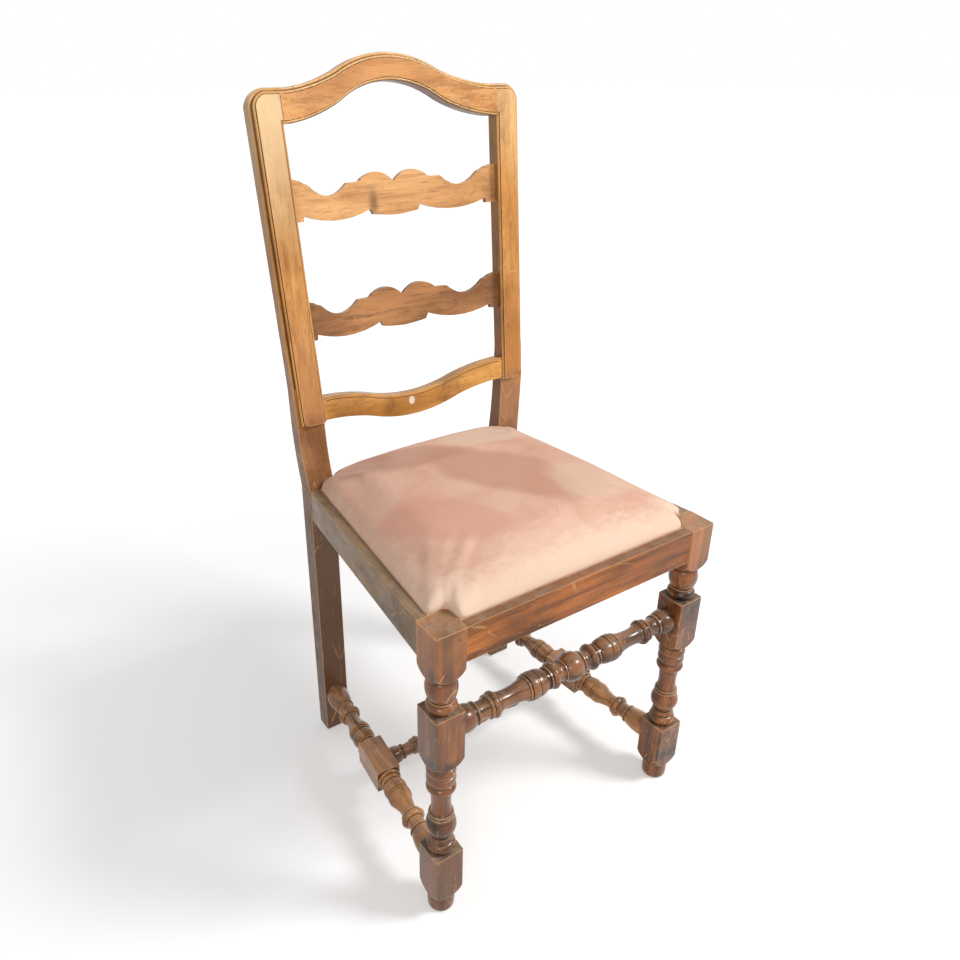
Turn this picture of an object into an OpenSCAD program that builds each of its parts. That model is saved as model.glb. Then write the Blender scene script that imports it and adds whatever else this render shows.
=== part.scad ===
// Ladder-back dining chair: turned front legs and stretchers, moulded back frame, drop-in seat.
// Millimetres. The origin is on the floor under the middle of the chair, and the front faces -Y.

/* [Seat frame] */
// Height of the top of the seat rails above the floor
seat_height = 450; // [400:5:540]
// Width across the outsides of the two front legs
front_width = 440; // [360:5:530]
// Width across the outsides of the two rear legs
rear_width = 374; // [372:1:384]
// Distance from the front of the front legs to the front of the rear legs
seat_depth = 376; // [310:5:455]
// Height of the four seat rails
rail_height = 48; // [40:1:58]
// Thickness of the four seat rails
rail_thickness = 22; // [20:1:26]
// Width of the rail top that shows round the drop-in seat
ledge_width = 14; // [11:0.5:16]
// Depth of the rebate that the drop-in seat lies in
rebate_depth = 12; // [10:1:15]

/* [Front legs] */
// Side of the square blocks on the front legs
leg_size = 41; // [36:1:49]
// Length of each rounded shoulder under a block
pommel_length = 20; // [14:1:23]
// Height of the block that takes the front stretcher
mid_block_height = 62; // [50:1:72]
// Height of the block that takes the side stretcher
low_block_height = 57; // [46:1:64]
// Rounding of the long edges of the blocks
arris_radius = 1.6; // [0.8:0.2:3]
// Radius of the sole of each front foot
sole_radius = 14.5; // [12:0.5:16]

/* [Rear legs] */
// Width of each rear leg, seen from the front
rear_leg_width = 39; // [37:1:44]
// Depth of each rear leg, seen from the side
rear_leg_depth = 27; // [24:1:33]
// Cut that takes the edge off each rear foot
foot_chamfer = 3; // [1:0.5:5]

/* [Back frame] */
// Height of the foot of the raised face above the seat rails
frame_foot_above_seat = 99; // [90:1:140]
// Height of the raised face, along the slope, from its foot to the level part of the crest
frame_rise = 419; // [385:1:500]
// Backward lean of the back frame, in degrees
rake = 7.1; // [4:0.1:12]
// How far the crest, slats and lower back rail bow backwards in the middle
back_bow = 16; // [8:1:24]
// Depth of the back frame from its raised face to its back
frame_depth = 22; // [20:1:28]
// Width between the stiles at the foot of the frame
opening_foot_width = 308; // [300:1:316]
// Width between the stiles at the top of the frame
opening_top_width = 328; // [318:1:344]
// Width of the raised face of a stile
stile_face = 29; // [25:1:34]
// Width of the bead along the inner edge of the frame
inner_bead = 4; // [2:0.5:6]
// Drop from the raised face to the inner bead
inner_bead_drop = 2; // [1:0.5:4]
// Width of the stepped moulding along the outer edge of the frame
outer_moulding = 8; // [6:0.5:10]
// Drop from the raised face to the first step of the outer moulding
first_step_drop = 2.5; // [1:0.5:4]
// Drop from the raised face to the second step of the outer moulding
second_step_drop = 8; // [5:0.5:11]
// Radius of the frame's rounded outer corners
corner_radius = 12; // [8:1:16]
// How far the raised face's foot stands in front of the rear legs
face_forward = 1.6; // [0:0.2:4]
// How far the raised face stands in front of the leg right below it
face_relief = 7; // [4:0.5:9]

/* [Crest and slats] */
// Rise of the arch along the top of the crest
crest_rise = 42; // [28:1:52]
// Rise of the arch along the underside of the crest
crest_under_rise = 49; // [32:1:58]
// Height of the crest's raised face at its ends
crest_face = 29.5; // [26:0.5:38]
// Height of the lower back rail at its ends
lower_rail_height = 33; // [28:1:40]
// Dip of the lower back rail's top edge
lower_rail_dip = 26; // [14:1:32]
// Dip of the lower back rail's bottom edge
lower_rail_under_dip = 27; // [14:1:30]
// Height of the middle of the upper slat's lower edge, along the slope, above the frame's foot
upper_slat_height = 263.5; // [255:0.5:285]
// Distance between the two slats, along the slope
slat_pitch = 155; // [140:1:165]
// Thickness of the slats
slat_thickness = 8; // [6:0.5:9]
// Distance from the raised face of the frame back to the slats
slat_setback = 11; // [8:0.5:12]

/* [Stretchers] */
// Distance from the seat frame's top down to the middle of the front stretcher
front_stretcher_drop = 151; // [135:1:165]
// Height of the middle of the side and cross stretchers
low_stretcher_height = 72; // [66:1:90]
// Largest radius of the front stretcher
front_stretcher_radius = 19.5; // [15:0.5:20]
// Largest radius of the side stretchers
side_stretcher_radius = 19.5; // [15:0.5:20]
// Largest radius of the cross stretcher
cross_stretcher_radius = 15; // [12:0.5:16]
// Side of the square block in the middle of each side stretcher
side_block_size = 35; // [32:1:40]
// Length of that block
side_block_length = 66; // [50:1:80]

/* [Joinery] */
// Thickness of the tenons on the rails
tenon_thickness = 8; // [6:1:10]
// Length of the tenons on the seat rails
rail_tenon_length = 18; // [12:1:19]
// Length of the tenons on the crest, slats and lower back rail
back_tenon_length = 18; // [12:1:22]
// Radius of the round tenons on the stretchers
peg_radius = 8; // [6:0.5:9]
// Length of the round tenons on the stretchers
peg_length = 16; // [12:1:18]
// Clearance round every tenon, screw and tack
joint_gap = 0.1; // [0.05:0.05:0.3]
// Distance that the seat rails' faces lie behind the faces of the legs
rail_step = 0.6; // [0:0.2:2]
// Reach of the glued corner blocks along the seat rails
corner_block_size = 38; // [32:1:46]
// Height of the glued corner blocks
corner_block_height = 26; // [20:1:30]
// Radius of the shank of the corner block screws
screw_radius = 2; // [1.5:0.25:2.5]
// Length of the corner block screws
screw_length = 26; // [23:1:28]

/* [Drop-in seat] */
// Gap between the drop-in seat and the rebate round it
seat_gap = 0.6; // [0.4:0.1:1.5]
// Thickness of the seat's plywood board
board_thickness = 11; // [9:1:14]
// Thickness of the velvet cover
cover_thickness = 1; // [0.8:0.1:1.5]
// Width of the cover's edge that is turned under the board
turn_under = 22; // [20:1:28]
// Height of the middle of the cushion above the seat rails
crown_height = 48; // [40:1:60]
// How much lower the cushion is at the middle of its sides
crown_drop = 16; // [12:1:22]
// Gap between the padding and the cover
padding_gap = 0.3; // [0.2:0.05:0.5]
// Radius of the heads of the tacks under the seat
tack_head_radius = 3; // [2:0.5:4]

/* [Hidden] */
$fn = 96;

// How far a joint's two shapes run into each other, and how far a cutter runs clear.
lap = 1;
clear = 60;
curve_steps = 7;
wide_arc_facets = 360;

// Places across the chair: x is measured from the middle, y from the front of the front legs.
half_block = leg_size / 2;
front_leg_x = front_width / 2 - half_block;
front_leg_inner_x = front_width / 2 - leg_size;
rear_leg_outer_x = rear_width / 2;
rear_leg_inner_x = rear_leg_outer_x - rear_leg_width;
rear_leg_middle = [rear_leg_outer_x - rear_leg_width / 2, seat_depth + rear_leg_depth / 2];
rear_leg_back_y = seat_depth + rear_leg_depth;

// The back frame has its own leaning axes: height runs up its raised face, depth runs backwards.
frame_foot_height = seat_height + frame_foot_above_seat;
face_foot_y = seat_depth - face_forward;
crest_peak = frame_rise + crest_rise + outer_moulding;
overall_depth = face_foot_y + crest_peak * sin(rake) + (frame_depth + back_bow) * cos(rake);
stile_splay = (opening_top_width - opening_foot_width) / 2 / frame_rise;
stile_width = inner_bead + stile_face + outer_moulding;
first_step = 0.4 * outer_moulding;
stile_foot_corner = 9;
crest_foot = frame_rise - crest_face;
crest_arch_margin = 9;
crest_arch_reach = opening_top_width / 2 - crest_arch_margin;
lower_rail_margin = 6;
lower_rail_reach = opening_foot_width / 2 - lower_rail_margin;
lower_rail_foot = 1.5;
bow_reach = (opening_foot_width + opening_top_width) / 4;
bow_radius = (bow_reach * bow_reach + back_bow * back_bow) / (2 * back_bow);

// Seat frame. The side rails run from the front legs' back faces to the rear legs' front faces.
rail_foot = seat_height - rail_height;
ledge_height = seat_height - rebate_depth;
tenon_shoulder = 4;
side_rail_x = front_width / 2 - rail_step;
side_rail_run = seat_depth - leg_size;
side_slope = (side_rail_x - (rear_leg_outer_x - rail_step)) / side_rail_run;
side_angle = atan(side_slope);
front_rail_inner_y = rail_step + rail_thickness;
rear_rail_y = rear_leg_back_y - rail_step - rail_thickness;
rail_tenon_height = rail_height - rebate_depth - 2 * tenon_shoulder;
rail_tenon_foot = rail_foot + tenon_shoulder;

// Stretchers. The side ones run from the middle of a front leg to the middle of a rear leg.
front_stretcher_height = seat_height - front_stretcher_drop;
stretcher_slope = (front_leg_x - rear_leg_middle[0]) / (rear_leg_middle[1] - half_block);
stretcher_angle = atan(stretcher_slope);
side_stretcher_y = (leg_size + seat_depth) / 2;
side_stretcher_x = front_leg_x - (side_stretcher_y - half_block) * stretcher_slope;
side_stretcher_half = side_rail_run / 2 / cos(stretcher_angle);
cross_half = side_stretcher_x - side_block_size / 2 / cos(stretcher_angle);

// Block levels on the front legs. Both blocks stand a little high on their stretchers.
mid_block_lift = 2;
low_block_lift = 4.5;
mid_block_top = front_stretcher_height + mid_block_height / 2 + mid_block_lift;
mid_block_foot = mid_block_top - mid_block_height;
low_block_top = low_stretcher_height + low_block_height / 2 + low_block_lift;
low_block_foot = low_block_top - low_block_height;
waist = 0.88 * half_block;
sole_rounding = 5;

// Corner blocks.
corner_block_drop = 3;
corner_block_foot = ledge_height - corner_block_drop - corner_block_height;
corner_gap = 0.3;

// Drop-in seat. Its crown is part of a large sphere over the middle of the seat.
board_foot = ledge_height + cover_thickness;
board_top = board_foot + board_thickness;
crown_middle_y = (ledge_width + rear_rail_y) / 2;
crown_reach = side_rail_x - ledge_width - (crown_middle_y - leg_size) * side_slope;
crown_radius = (crown_reach * crown_reach + crown_drop * crown_drop) / (2 * crown_drop);
tack_inset = 14;
tack_length = 8;
tack_shank_radius = 0.8;
tack_head_height = 0.8;
tacks_per_edge = 4;

// Turnings, each point as [share of the length, share of the largest radius, bulge as such a share].
// A point's bulge rounds the stretch that ends at it, outwards where it is above zero.
neck_turning = [
    [0.03, 0.80, 0.00], [0.07, 0.80, 0.00], [0.09, 0.84, 0.00], [0.60, 0.82, 0.13],
    [0.615, 0.72, 0.00], [0.66, 0.72, 0.00], [0.67, 0.79, 0.00], [0.70, 0.79, 0.00],
    [0.71, 0.74, 0.00], [0.73, 0.74, 0.00], [0.955, 0.80, 0.15], [0.97, 0.74, 0.00],
    [1.00, 0.74, 0.00]
];
shaft_turning = [
    [0.010, 0.80, 0.00], [0.022, 0.80, 0.00], [0.028, 0.86, 0.00], [0.110, 0.87, 0.05],
    [0.114, 0.83, 0.00], [0.120, 0.83, 0.00], [0.124, 0.87, 0.00], [0.205, 0.84, 0.05],
    [0.210, 0.76, 0.00], [0.222, 0.76, 0.00], [0.226, 0.80, 0.00], [0.300, 0.80, 0.12],
    [0.305, 0.72, 0.00], [0.318, 0.72, 0.00], [0.322, 0.68, 0.00], [0.470, 0.61, -0.02],
    [0.560, 0.68, -0.01], [0.564, 0.76, 0.00], [0.578, 0.76, 0.00], [0.582, 0.71, 0.00],
    [0.590, 0.71, 0.00], [0.594, 0.80, 0.00], [0.612, 0.80, 0.00], [0.616, 0.74, 0.00],
    [0.810, 0.68, 0.24], [0.816, 0.62, 0.00], [0.835, 0.62, 0.00], [0.840, 0.70, 0.00],
    [0.885, 0.72, 0.05], [0.890, 0.66, 0.00], [0.898, 0.66, 0.00], [0.903, 0.76, 0.00],
    [0.985, 0.80, 0.13], [0.990, 0.74, 0.00], [1.000, 0.74, 0.00]
];
foot_turning = [
    [0.04, 0.80, 0.00], [0.12, 0.80, 0.00], [0.15, 0.85, 0.00], [1.00, 0.86, 0.02]
];
long_turning = [
    [0.000, 0.80, 0.00], [0.120, 0.76, 0.12], [0.124, 0.70, 0.00], [0.140, 0.70, 0.00],
    [0.144, 0.76, 0.00], [0.155, 0.76, 0.00], [0.160, 0.66, 0.00], [0.195, 0.615, -0.02],
    [0.245, 0.70, -0.03], [0.250, 0.78, 0.00], [0.268, 0.80, 0.00], [0.272, 0.74, 0.00],
    [0.276, 0.74, 0.00], [0.322, 0.76, 0.13], [0.326, 0.68, 0.00], [0.340, 0.68, 0.00],
    [0.344, 0.64, 0.00], [0.430, 0.575, -0.02], [0.570, 0.78, -0.05], [0.575, 0.85, 0.00],
    [0.585, 0.86, 0.00], [0.588, 0.81, 0.00], [0.594, 0.81, 0.00], [0.598, 0.90, 0.00],
    [0.655, 0.91, 0.03], [0.659, 0.86, 0.00], [0.665, 0.86, 0.00], [0.669, 0.90, 0.00],
    [0.745, 0.72, 0.05], [0.750, 0.66, 0.00], [0.765, 0.66, 0.00], [0.769, 0.76, 0.00],
    [0.780, 0.76, 0.00], [0.784, 0.70, 0.00], [0.789, 0.70, 0.00], [0.845, 0.74, 0.18],
    [0.850, 0.66, 0.00], [0.885, 0.60, -0.02], [0.905, 0.66, -0.01], [0.909, 0.74, 0.00],
    [0.918, 0.74, 0.00], [0.922, 0.68, 0.00], [1.000, 0.98, 0.09]
];
short_turning = [
    [0.000, 0.86, 0.00], [0.030, 0.86, 0.05], [0.034, 0.72, 0.00], [0.060, 0.68, -0.01],
    [0.064, 0.76, 0.00], [0.078, 0.76, 0.00], [0.082, 0.70, 0.00], [0.205, 0.82, 0.10],
    [0.209, 0.75, 0.00], [0.218, 0.75, 0.00], [0.222, 0.84, 0.00], [0.236, 0.84, 0.00],
    [0.240, 0.79, 0.00], [0.246, 0.79, 0.00], [0.250, 0.86, 0.00], [0.310, 0.80, 0.03],
    [0.455, 0.55, -0.05], [0.505, 0.62, -0.02], [0.509, 0.74, 0.00], [0.520, 0.74, 0.00],
    [0.524, 0.68, 0.00], [0.590, 0.72, 0.17], [0.595, 0.62, 0.00], [0.650, 0.59, -0.02],
    [0.690, 0.66, -0.01], [0.694, 0.74, 0.00], [0.705, 0.74, 0.00], [0.709, 0.68, 0.00],
    [1.000, 0.80, 0.14]
];

// The slats' edges on one side of the middle, as [share of the half width, height, bulge].
slat_top = [
    [0.00, 44.3, 0.0], [0.32, 51.5, 10.5], [0.36, 47.5, -1.0], [0.465, 47.2, 0.0],
    [0.85, 49.0, -15.0], [0.92, 54.1, -0.5], [1.06, 58.5, 0.5]
];
slat_bottom = [
    [1.06, 3.9, 0.0], [0.92, 3.9, 0.0], [0.915, 10.8, 0.0], [0.25, 11.2, 10.2],
    [0.225, 3.6, 0.0], [0.00, 0.0, 0.6]
];
slat_tenon_foot = 16;
slat_tenon_height = 32;

// Points along a stretch from p to q that bulges by s to the left of its way.
function stretch(p, q, s) =
    let (run = q - p, side = [-run[1], run[0]] / norm(run), steps = s == 0 ? 1 : curve_steps)
    [for (i = [1:steps]) let (t = i / steps) p + run * t + side * 4 * s * t * (1 - t)];

// A whole outline from points given as [x, y, bulge of the stretch that ends there].
function outline(points) =
    [for (i = [0:len(points) - 1])
        let (q = [points[i][0], points[i][1]])
        each i == 0 ? [q] : stretch([points[i - 1][0], points[i - 1][1]], q, points[i][2])];

// A turning spread between two places on its axis, as points for an outline.
function spread(shares, start, end, radius) =
    let (way = start > end ? 1 : -1)
    [for (s = shares) [s[1] * radius, start + s[0] * (end - start), way * s[2] * radius]];

// A list of points read backwards, with x or y turned over.
function back_in_x(points) = [for (i = [len(points) - 1:-1:0]) [-points[i][0], points[i][1]]];
function back_in_y(points) = [for (i = [len(points) - 2:-1:0]) [points[i][0], -points[i][1]]];

// One side of an S-shaped arch, from its peak in the middle to its foot.
function arch_side(reach, foot, rise) = outline([
    [0, foot + rise, 0], [reach / 2, foot + rise / 2, rise * 0.125], [reach, foot, rise * -0.075]
]);

// The inner face of the right-hand side rail at a distance from the front.
function side_rail_inner_x(y) =
    side_rail_x - rail_thickness / cos(side_angle) - (y - leg_size) * side_slope;

module rounded_square(size, r) {
    square([size - 2 * r, size], center = true);
    square([size, size - 2 * r], center = true);
    for (x = [-1, 1], y = [-1, 1])
        translate([x, y] * (size / 2 - r)) circle(r);
}

// Moves a part so that the chair's footprint is centred on the origin.
module placed() {
    translate([0, -overall_depth / 2, 0]) children();
}

// Parts of a pair are drawn on the right, where x is above zero, and mirrored for the left.
module on_side(side) {
    if (side < 0) mirror([1, 0, 0]) children();
    else children();
}

module on_frame() {
    translate([0, face_foot_y, frame_foot_height]) rotate([-rake, 0, 0]) children();
}

// A plate of the back frame between two depths, drawn as seen from the front.
module frame_plate(front, back) {
    translate([0, back, 0]) rotate([90, 0, 0]) linear_extrude(back - front) children();
}

// The same plate bowed backwards: the outline is kept where it crosses a curved band.
module bowed_plate(front, back) {
    intersection() {
        frame_plate(front - lap, back + back_bow + lap) children();
        translate([0, back_bow - bow_radius, -clear]) difference() {
            cylinder(h = crest_peak + 2 * clear, r = bow_radius + back, $fn = wide_arc_facets);
            translate([0, 0, -lap])
                cylinder(h = crest_peak + 2 * clear + 2 * lap, r = bow_radius + front, $fn = wide_arc_facets);
        }
    }
}

// ---- Front legs ----

module front_leg_turning() {
    corner = half_block * sqrt(2) + lap;
    rotate_extrude() polygon(outline(concat(
        [[0, seat_height + lap, 0], [corner, seat_height + lap, 0], [corner, rail_foot, 0]],
        [[waist, rail_foot - pommel_length, 3]],
        spread(neck_turning, rail_foot - pommel_length, mid_block_top, half_block),
        [[corner, mid_block_top, 0], [corner, mid_block_foot, 0]],
        [[waist, mid_block_foot - pommel_length, 3]],
        spread(shaft_turning, mid_block_foot - pommel_length, low_block_top, half_block),
        [[corner, low_block_top, 0], [corner, low_block_foot, 0]],
        [[waist, low_block_foot - pommel_length, 3]],
        spread(foot_turning, low_block_foot - pommel_length, sole_rounding, half_block),
        [[sole_radius, 0, 1], [0, 0, 0]]
    )));
}

module front_leg(side) {
    on_side(side) difference() {
        translate([front_leg_x, half_block, 0]) intersection() {
            linear_extrude(seat_height) rounded_square(leg_size, arris_radius);
            front_leg_turning();
        }
        front_rail_tenon(joint_gap);
        side_rail_tenons(joint_gap);
        front_stretcher_peg(joint_gap);
        side_stretcher_pegs(joint_gap);
        corner_screws(joint_gap);
    }
}

module front_leg_left() { color("saddlebrown") placed() front_leg(-1); }
module front_leg_right() { color("saddlebrown") placed() front_leg(1); }

// ---- Rear legs, each in one piece with its stile ----

// Side view of the leg below the frame. Its front sweeps back under the raised face, and its
// upright back ends where the frame's leaning back meets it.
module rear_leg_side_view() {
    recess = [face_foot_y + face_relief, frame_foot_height];
    hidden_slope = 6;
    back_meets = frame_foot_height
        + max(lap, (rear_leg_back_y - face_foot_y - frame_depth / cos(rake)) / tan(rake));
    polygon(outline([
        [seat_depth + foot_chamfer, 0, 0], [seat_depth, foot_chamfer, 0], [seat_depth, seat_height, 0],
        [recess[0], recess[1], -1], [recess[0] + hidden_slope, back_meets, 0],
        [rear_leg_back_y, back_meets, 0], [rear_leg_back_y, foot_chamfer, 0], [rear_leg_back_y - foot_chamfer, 0, 0]
    ]));
}

// Front view of the leg below the frame, widening to the foot of the frame. Its inner edge stays
// half a lap inside the stile's, so that only the stile meets the lower back rail.
module rear_leg_front_view() {
    inner = opening_foot_width / 2 + lap / 2;
    outer = opening_foot_width / 2 + stile_width;
    above = clear;
    polygon(outline([
        [rear_leg_outer_x - foot_chamfer, 0, 0], [rear_leg_outer_x, foot_chamfer, 0],
        [rear_leg_outer_x, seat_height, 0], [outer, frame_foot_height, -1],
        [outer + above * stile_splay, frame_foot_height + above, 0],
        [inner + above * stile_splay, frame_foot_height + above, 0],
        [inner - 8 * stile_splay, frame_foot_height - 8, 0], [rear_leg_inner_x, seat_height, 1],
        [rear_leg_inner_x, foot_chamfer, 0], [rear_leg_inner_x + foot_chamfer, 0, 0]
    ]));
}

module rear_leg_bar() {
    intersection() {
        rotate([90, 0, 90]) linear_extrude(rear_width) rear_leg_side_view();
        translate([0, 2 * seat_depth, 0]) rotate([90, 0, 0])
            linear_extrude(2 * seat_depth) rear_leg_front_view();
    }
}

// Front view of one layer of a stile. Widths are counted from the stile's inner edge.
module stile_layer(inner, outer, foot, top, corner) {
    inner_x = opening_foot_width / 2 + inner;
    outer_x = opening_foot_width / 2 + outer;
    foot_corner = min(stile_foot_corner, corner);
    polygon(outline([
        [inner_x + foot * stile_splay, foot, 0],
        [outer_x + foot * stile_splay - foot_corner, foot, 0],
        [outer_x + (foot + foot_corner) * stile_splay, foot + foot_corner, foot_corner * -0.2],
        [outer_x + (top - corner) * stile_splay, top - corner, 0],
        [outer_x + (top - corner) * stile_splay - corner, top, corner * -0.2],
        [inner_x + top * stile_splay, top, 0]
    ]));
}

module stile() {
    face_edge = inner_bead + stile_face;
    step_top = frame_rise + first_step;
    frame_plate(0, frame_depth)
        stile_layer(inner_bead, face_edge, 0, frame_rise, corner_radius);
    frame_plate(0, frame_depth)
        stile_layer(0, face_edge - corner_radius, crest_foot, frame_rise, lap);
    frame_plate(first_step_drop, frame_depth)
        stile_layer(inner_bead, face_edge + first_step, 0, step_top, corner_radius + first_step);
    frame_plate(inner_bead_drop, frame_depth)
        stile_layer(0, face_edge - corner_radius, 0, crest_foot + lap, lap);
    frame_plate(second_step_drop, frame_depth)
        stile_layer(0, stile_width, 0, frame_rise + outer_moulding, corner_radius + outer_moulding);
}

module rear_leg(side) {
    on_side(side) difference() {
        union() {
            rear_leg_bar();
            on_frame() stile();
        }
        on_frame() {
            crest_tenon(joint_gap);
            lower_rail_tenon(joint_gap);
            slat_tenon(upper_slat_height, joint_gap);
            slat_tenon(upper_slat_height - slat_pitch, joint_gap);
        }
        side_rail_tenons(joint_gap);
        rear_rail_tenon(joint_gap);
        side_stretcher_pegs(joint_gap);
        corner_screws(joint_gap);
    }
}

module rear_leg_left() { color("peru") placed() rear_leg(-1); }
module rear_leg_right() { color("peru") placed() rear_leg(1); }

// ---- Seat rails ----

// Section of a seat rail with its outer face at zero and the rebate on its inner side.
module rail_section() {
    polygon([
        [0, 0], [rail_thickness, 0], [rail_thickness, rail_height - rebate_depth],
        [ledge_width, rail_height - rebate_depth], [ledge_width, rail_height], [0, rail_height]
    ]);
}

// A tenon that starts a lap inside its rail and points along +X. A mortise is one with a gap.
module tenon(length, thickness, height, gap) {
    translate([-lap, -thickness / 2 - gap, -gap])
        cube([length + lap + gap, thickness + 2 * gap, height + 2 * gap]);
}

module front_rail_tenon(gap) {
    translate([front_leg_inner_x, rail_step + ledge_width / 2 + 2, rail_tenon_foot])
        tenon(rail_tenon_length, tenon_thickness, rail_tenon_height, gap);
}

module rear_rail_tenon(gap) {
    translate([rear_leg_inner_x, rear_rail_y + rail_thickness / 2, rail_tenon_foot])
        tenon(rail_tenon_length, tenon_thickness, rail_tenon_height, gap);
}

// Keeps what lies between two distances from the front.
module between_y(front, back) {
    intersection() {
        children();
        translate([0, front, -lap]) cube([front_width, back - front, 2 * seat_height]);
    }
}

// The right-hand side rail's own axes: x inwards from its outer face, y towards the back.
module on_side_rail() {
    translate([side_rail_x, leg_size, 0]) rotate([0, 0, side_angle]) mirror([1, 0, 0]) children();
}

module side_rail_tenons(gap) {
    stub = rail_tenon_length / 2;
    reach = side_rail_run + 2 * clear;
    between_y(leg_size - rail_tenon_length - gap, seat_depth + stub + gap) difference() {
        on_side_rail() translate([(rail_thickness - tenon_thickness) / 2 - gap, -clear, rail_tenon_foot - gap])
            cube([tenon_thickness + 2 * gap, reach, rail_tenon_height + 2 * gap]);
        translate([0, leg_size + lap, 0]) cube([front_width, side_rail_run - 2 * lap, seat_height]);
    }
}

module side_seat_rail(side) {
    reach = side_rail_run + 2 * clear;
    on_side(side) {
        between_y(leg_size, seat_depth)
            on_side_rail() translate([0, reach - clear, rail_foot])
                rotate([90, 0, 0]) linear_extrude(reach) rail_section();
        side_rail_tenons(0);
    }
}

module left_seat_rail() { color("peru") placed() side_seat_rail(-1); }
module right_seat_rail() { color("peru") placed() side_seat_rail(1); }

module front_seat_rail() {
    color("sienna") placed() {
        translate([-front_leg_inner_x, rail_step, rail_foot]) rotate([90, 0, 90])
            linear_extrude(2 * front_leg_inner_x) rail_section();
        for (side = [-1, 1]) on_side(side) front_rail_tenon(0);
    }
}

module rear_seat_rail() {
    color("sienna") placed() {
        translate([rear_leg_inner_x, rear_rail_y + rail_thickness, rail_foot]) rotate([90, 0, -90])
            linear_extrude(2 * rear_leg_inner_x) rail_section();
        for (side = [-1, 1]) on_side(side) rear_rail_tenon(0);
    }
}

// ---- Crest, slats and lower back rail ----

// The space between the two stiles, seen from the front.
module between_stiles() {
    foot = opening_foot_width / 2;
    high = crest_peak + clear;
    polygon([
        [-foot + clear * stile_splay, -clear], [foot - clear * stile_splay, -clear],
        [foot + high * stile_splay, high], [-foot - high * stile_splay, high]
    ]);
}

// A tenon of a back rail or slat, on the frame's axes.
module back_tenon(depth, foot, thickness, height, gap) {
    translate([opening_foot_width / 2 + (foot + height / 2) * stile_splay, depth, foot])
        tenon(back_tenon_length, thickness, height, gap);
}

module crest_tenon(gap) {
    back_tenon(frame_depth / 2 + 2, crest_foot + 3, tenon_thickness, crest_face - 6, gap);
}

module lower_rail_tenon(gap) {
    back_tenon(frame_depth / 2, lower_rail_foot + 5, tenon_thickness, lower_rail_height - 10, gap);
}

module slat_tenon(level, gap) {
    depth = slat_setback + slat_thickness / 2;
    back_tenon(depth, level + slat_tenon_foot, slat_thickness - 1, slat_tenon_height, gap);
}

// Everything below an arch, down to a level well under it.
module below_arch(foot, rise) {
    side = arch_side(crest_arch_reach, foot, rise);
    wide = opening_top_width;
    polygon(concat(
        side, [[wide, foot], [wide, foot - 3 * clear], [-wide, foot - 3 * clear], [-wide, foot]],
        [for (i = [len(side) - 1:-1:1]) [-side[i][0], side[i][1]]]
    ));
}

module crest_layer(above, below) {
    intersection() {
        difference() {
            below_arch(frame_rise + above, crest_rise);
            below_arch(crest_foot - below, crest_under_rise);
        }
        between_stiles();
    }
}

module crest_rail() {
    color("sandybrown") placed() on_frame() {
        bowed_plate(0, frame_depth) crest_layer(0, 0);
        bowed_plate(first_step_drop, frame_depth) crest_layer(first_step, 0);
        bowed_plate(inner_bead_drop, frame_depth) crest_layer(0, inner_bead);
        bowed_plate(second_step_drop, frame_depth) crest_layer(outer_moulding, inner_bead);
        for (side = [-1, 1]) on_side(side) crest_tenon(0);
    }
}

// The lower back rail hangs in the middle, like an arch turned over.
module hanging_outline() {
    top = [for (p = arch_side(lower_rail_reach, 0, lower_rail_dip)) [p[0], lower_rail_height - p[1]]];
    under = [for (p = arch_side(lower_rail_reach, 0, lower_rail_under_dip)) [p[0], -p[1]]];
    wide = opening_foot_width;
    last = len(top) - 1;
    translate([0, lower_rail_foot]) polygon(concat(
        top, [[wide, lower_rail_height], [wide, 0]], [for (i = [last:-1:0]) under[i]],
        [for (i = [1:last]) [-under[i][0], under[i][1]]], [[-wide, 0], [-wide, lower_rail_height]],
        [for (i = [last:-1:1]) [-top[i][0], top[i][1]]]
    ));
}

module lower_back_rail() {
    color("goldenrod") placed() on_frame() {
        bowed_plate(inner_bead_drop, frame_depth - 2) intersection() {
            hanging_outline();
            between_stiles();
        }
        for (side = [-1, 1]) on_side(side) lower_rail_tenon(0);
    }
}

module slat_outline(level) {
    half = bow_reach;
    edge = outline([for (p = concat(slat_top, slat_bottom)) [p[0] * half, level + p[1], p[2]]]);
    intersection() {
        polygon(concat(edge, [for (i = [len(edge) - 2:-1:1]) [-edge[i][0], edge[i][1]]]));
        between_stiles();
    }
}

module slat(level) {
    bowed_plate(slat_setback, slat_setback + slat_thickness) slat_outline(level);
    for (side = [-1, 1]) on_side(side) slat_tenon(level, 0);
}

module upper_slat() { color("burlywood") placed() on_frame() slat(upper_slat_height); }
module lower_slat() { color("burlywood") placed() on_frame() slat(upper_slat_height - slat_pitch); }

// ---- Stretchers ----

// A bar that lies along X, turned alike on both sides of its middle.
module lying_bar(half, radius) {
    profile = outline(spread(long_turning, half, 0, radius));
    rotate([0, 90, 0]) rotate_extrude()
        polygon(concat([[0, half]], profile, back_in_y(profile), [[0, -half]]));
}

module front_stretcher_peg(gap) {
    translate([front_leg_inner_x - lap, half_block, front_stretcher_height])
        rotate([0, 90, 0]) cylinder(h = lap + peg_length + gap, r = peg_radius + gap);
}

module front_stretcher() {
    color("saddlebrown") placed() {
        translate([0, half_block, front_stretcher_height])
            lying_bar(front_leg_inner_x, front_stretcher_radius);
        for (side = [-1, 1]) on_side(side) front_stretcher_peg(0);
    }
}

// The right-hand side stretcher's own axes: z runs along it from its middle towards the back.
module on_side_stretcher() {
    translate([side_stretcher_x, side_stretcher_y, low_stretcher_height])
        rotate([0, 0, stretcher_angle]) rotate([-90, 0, 0]) children();
}

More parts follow.
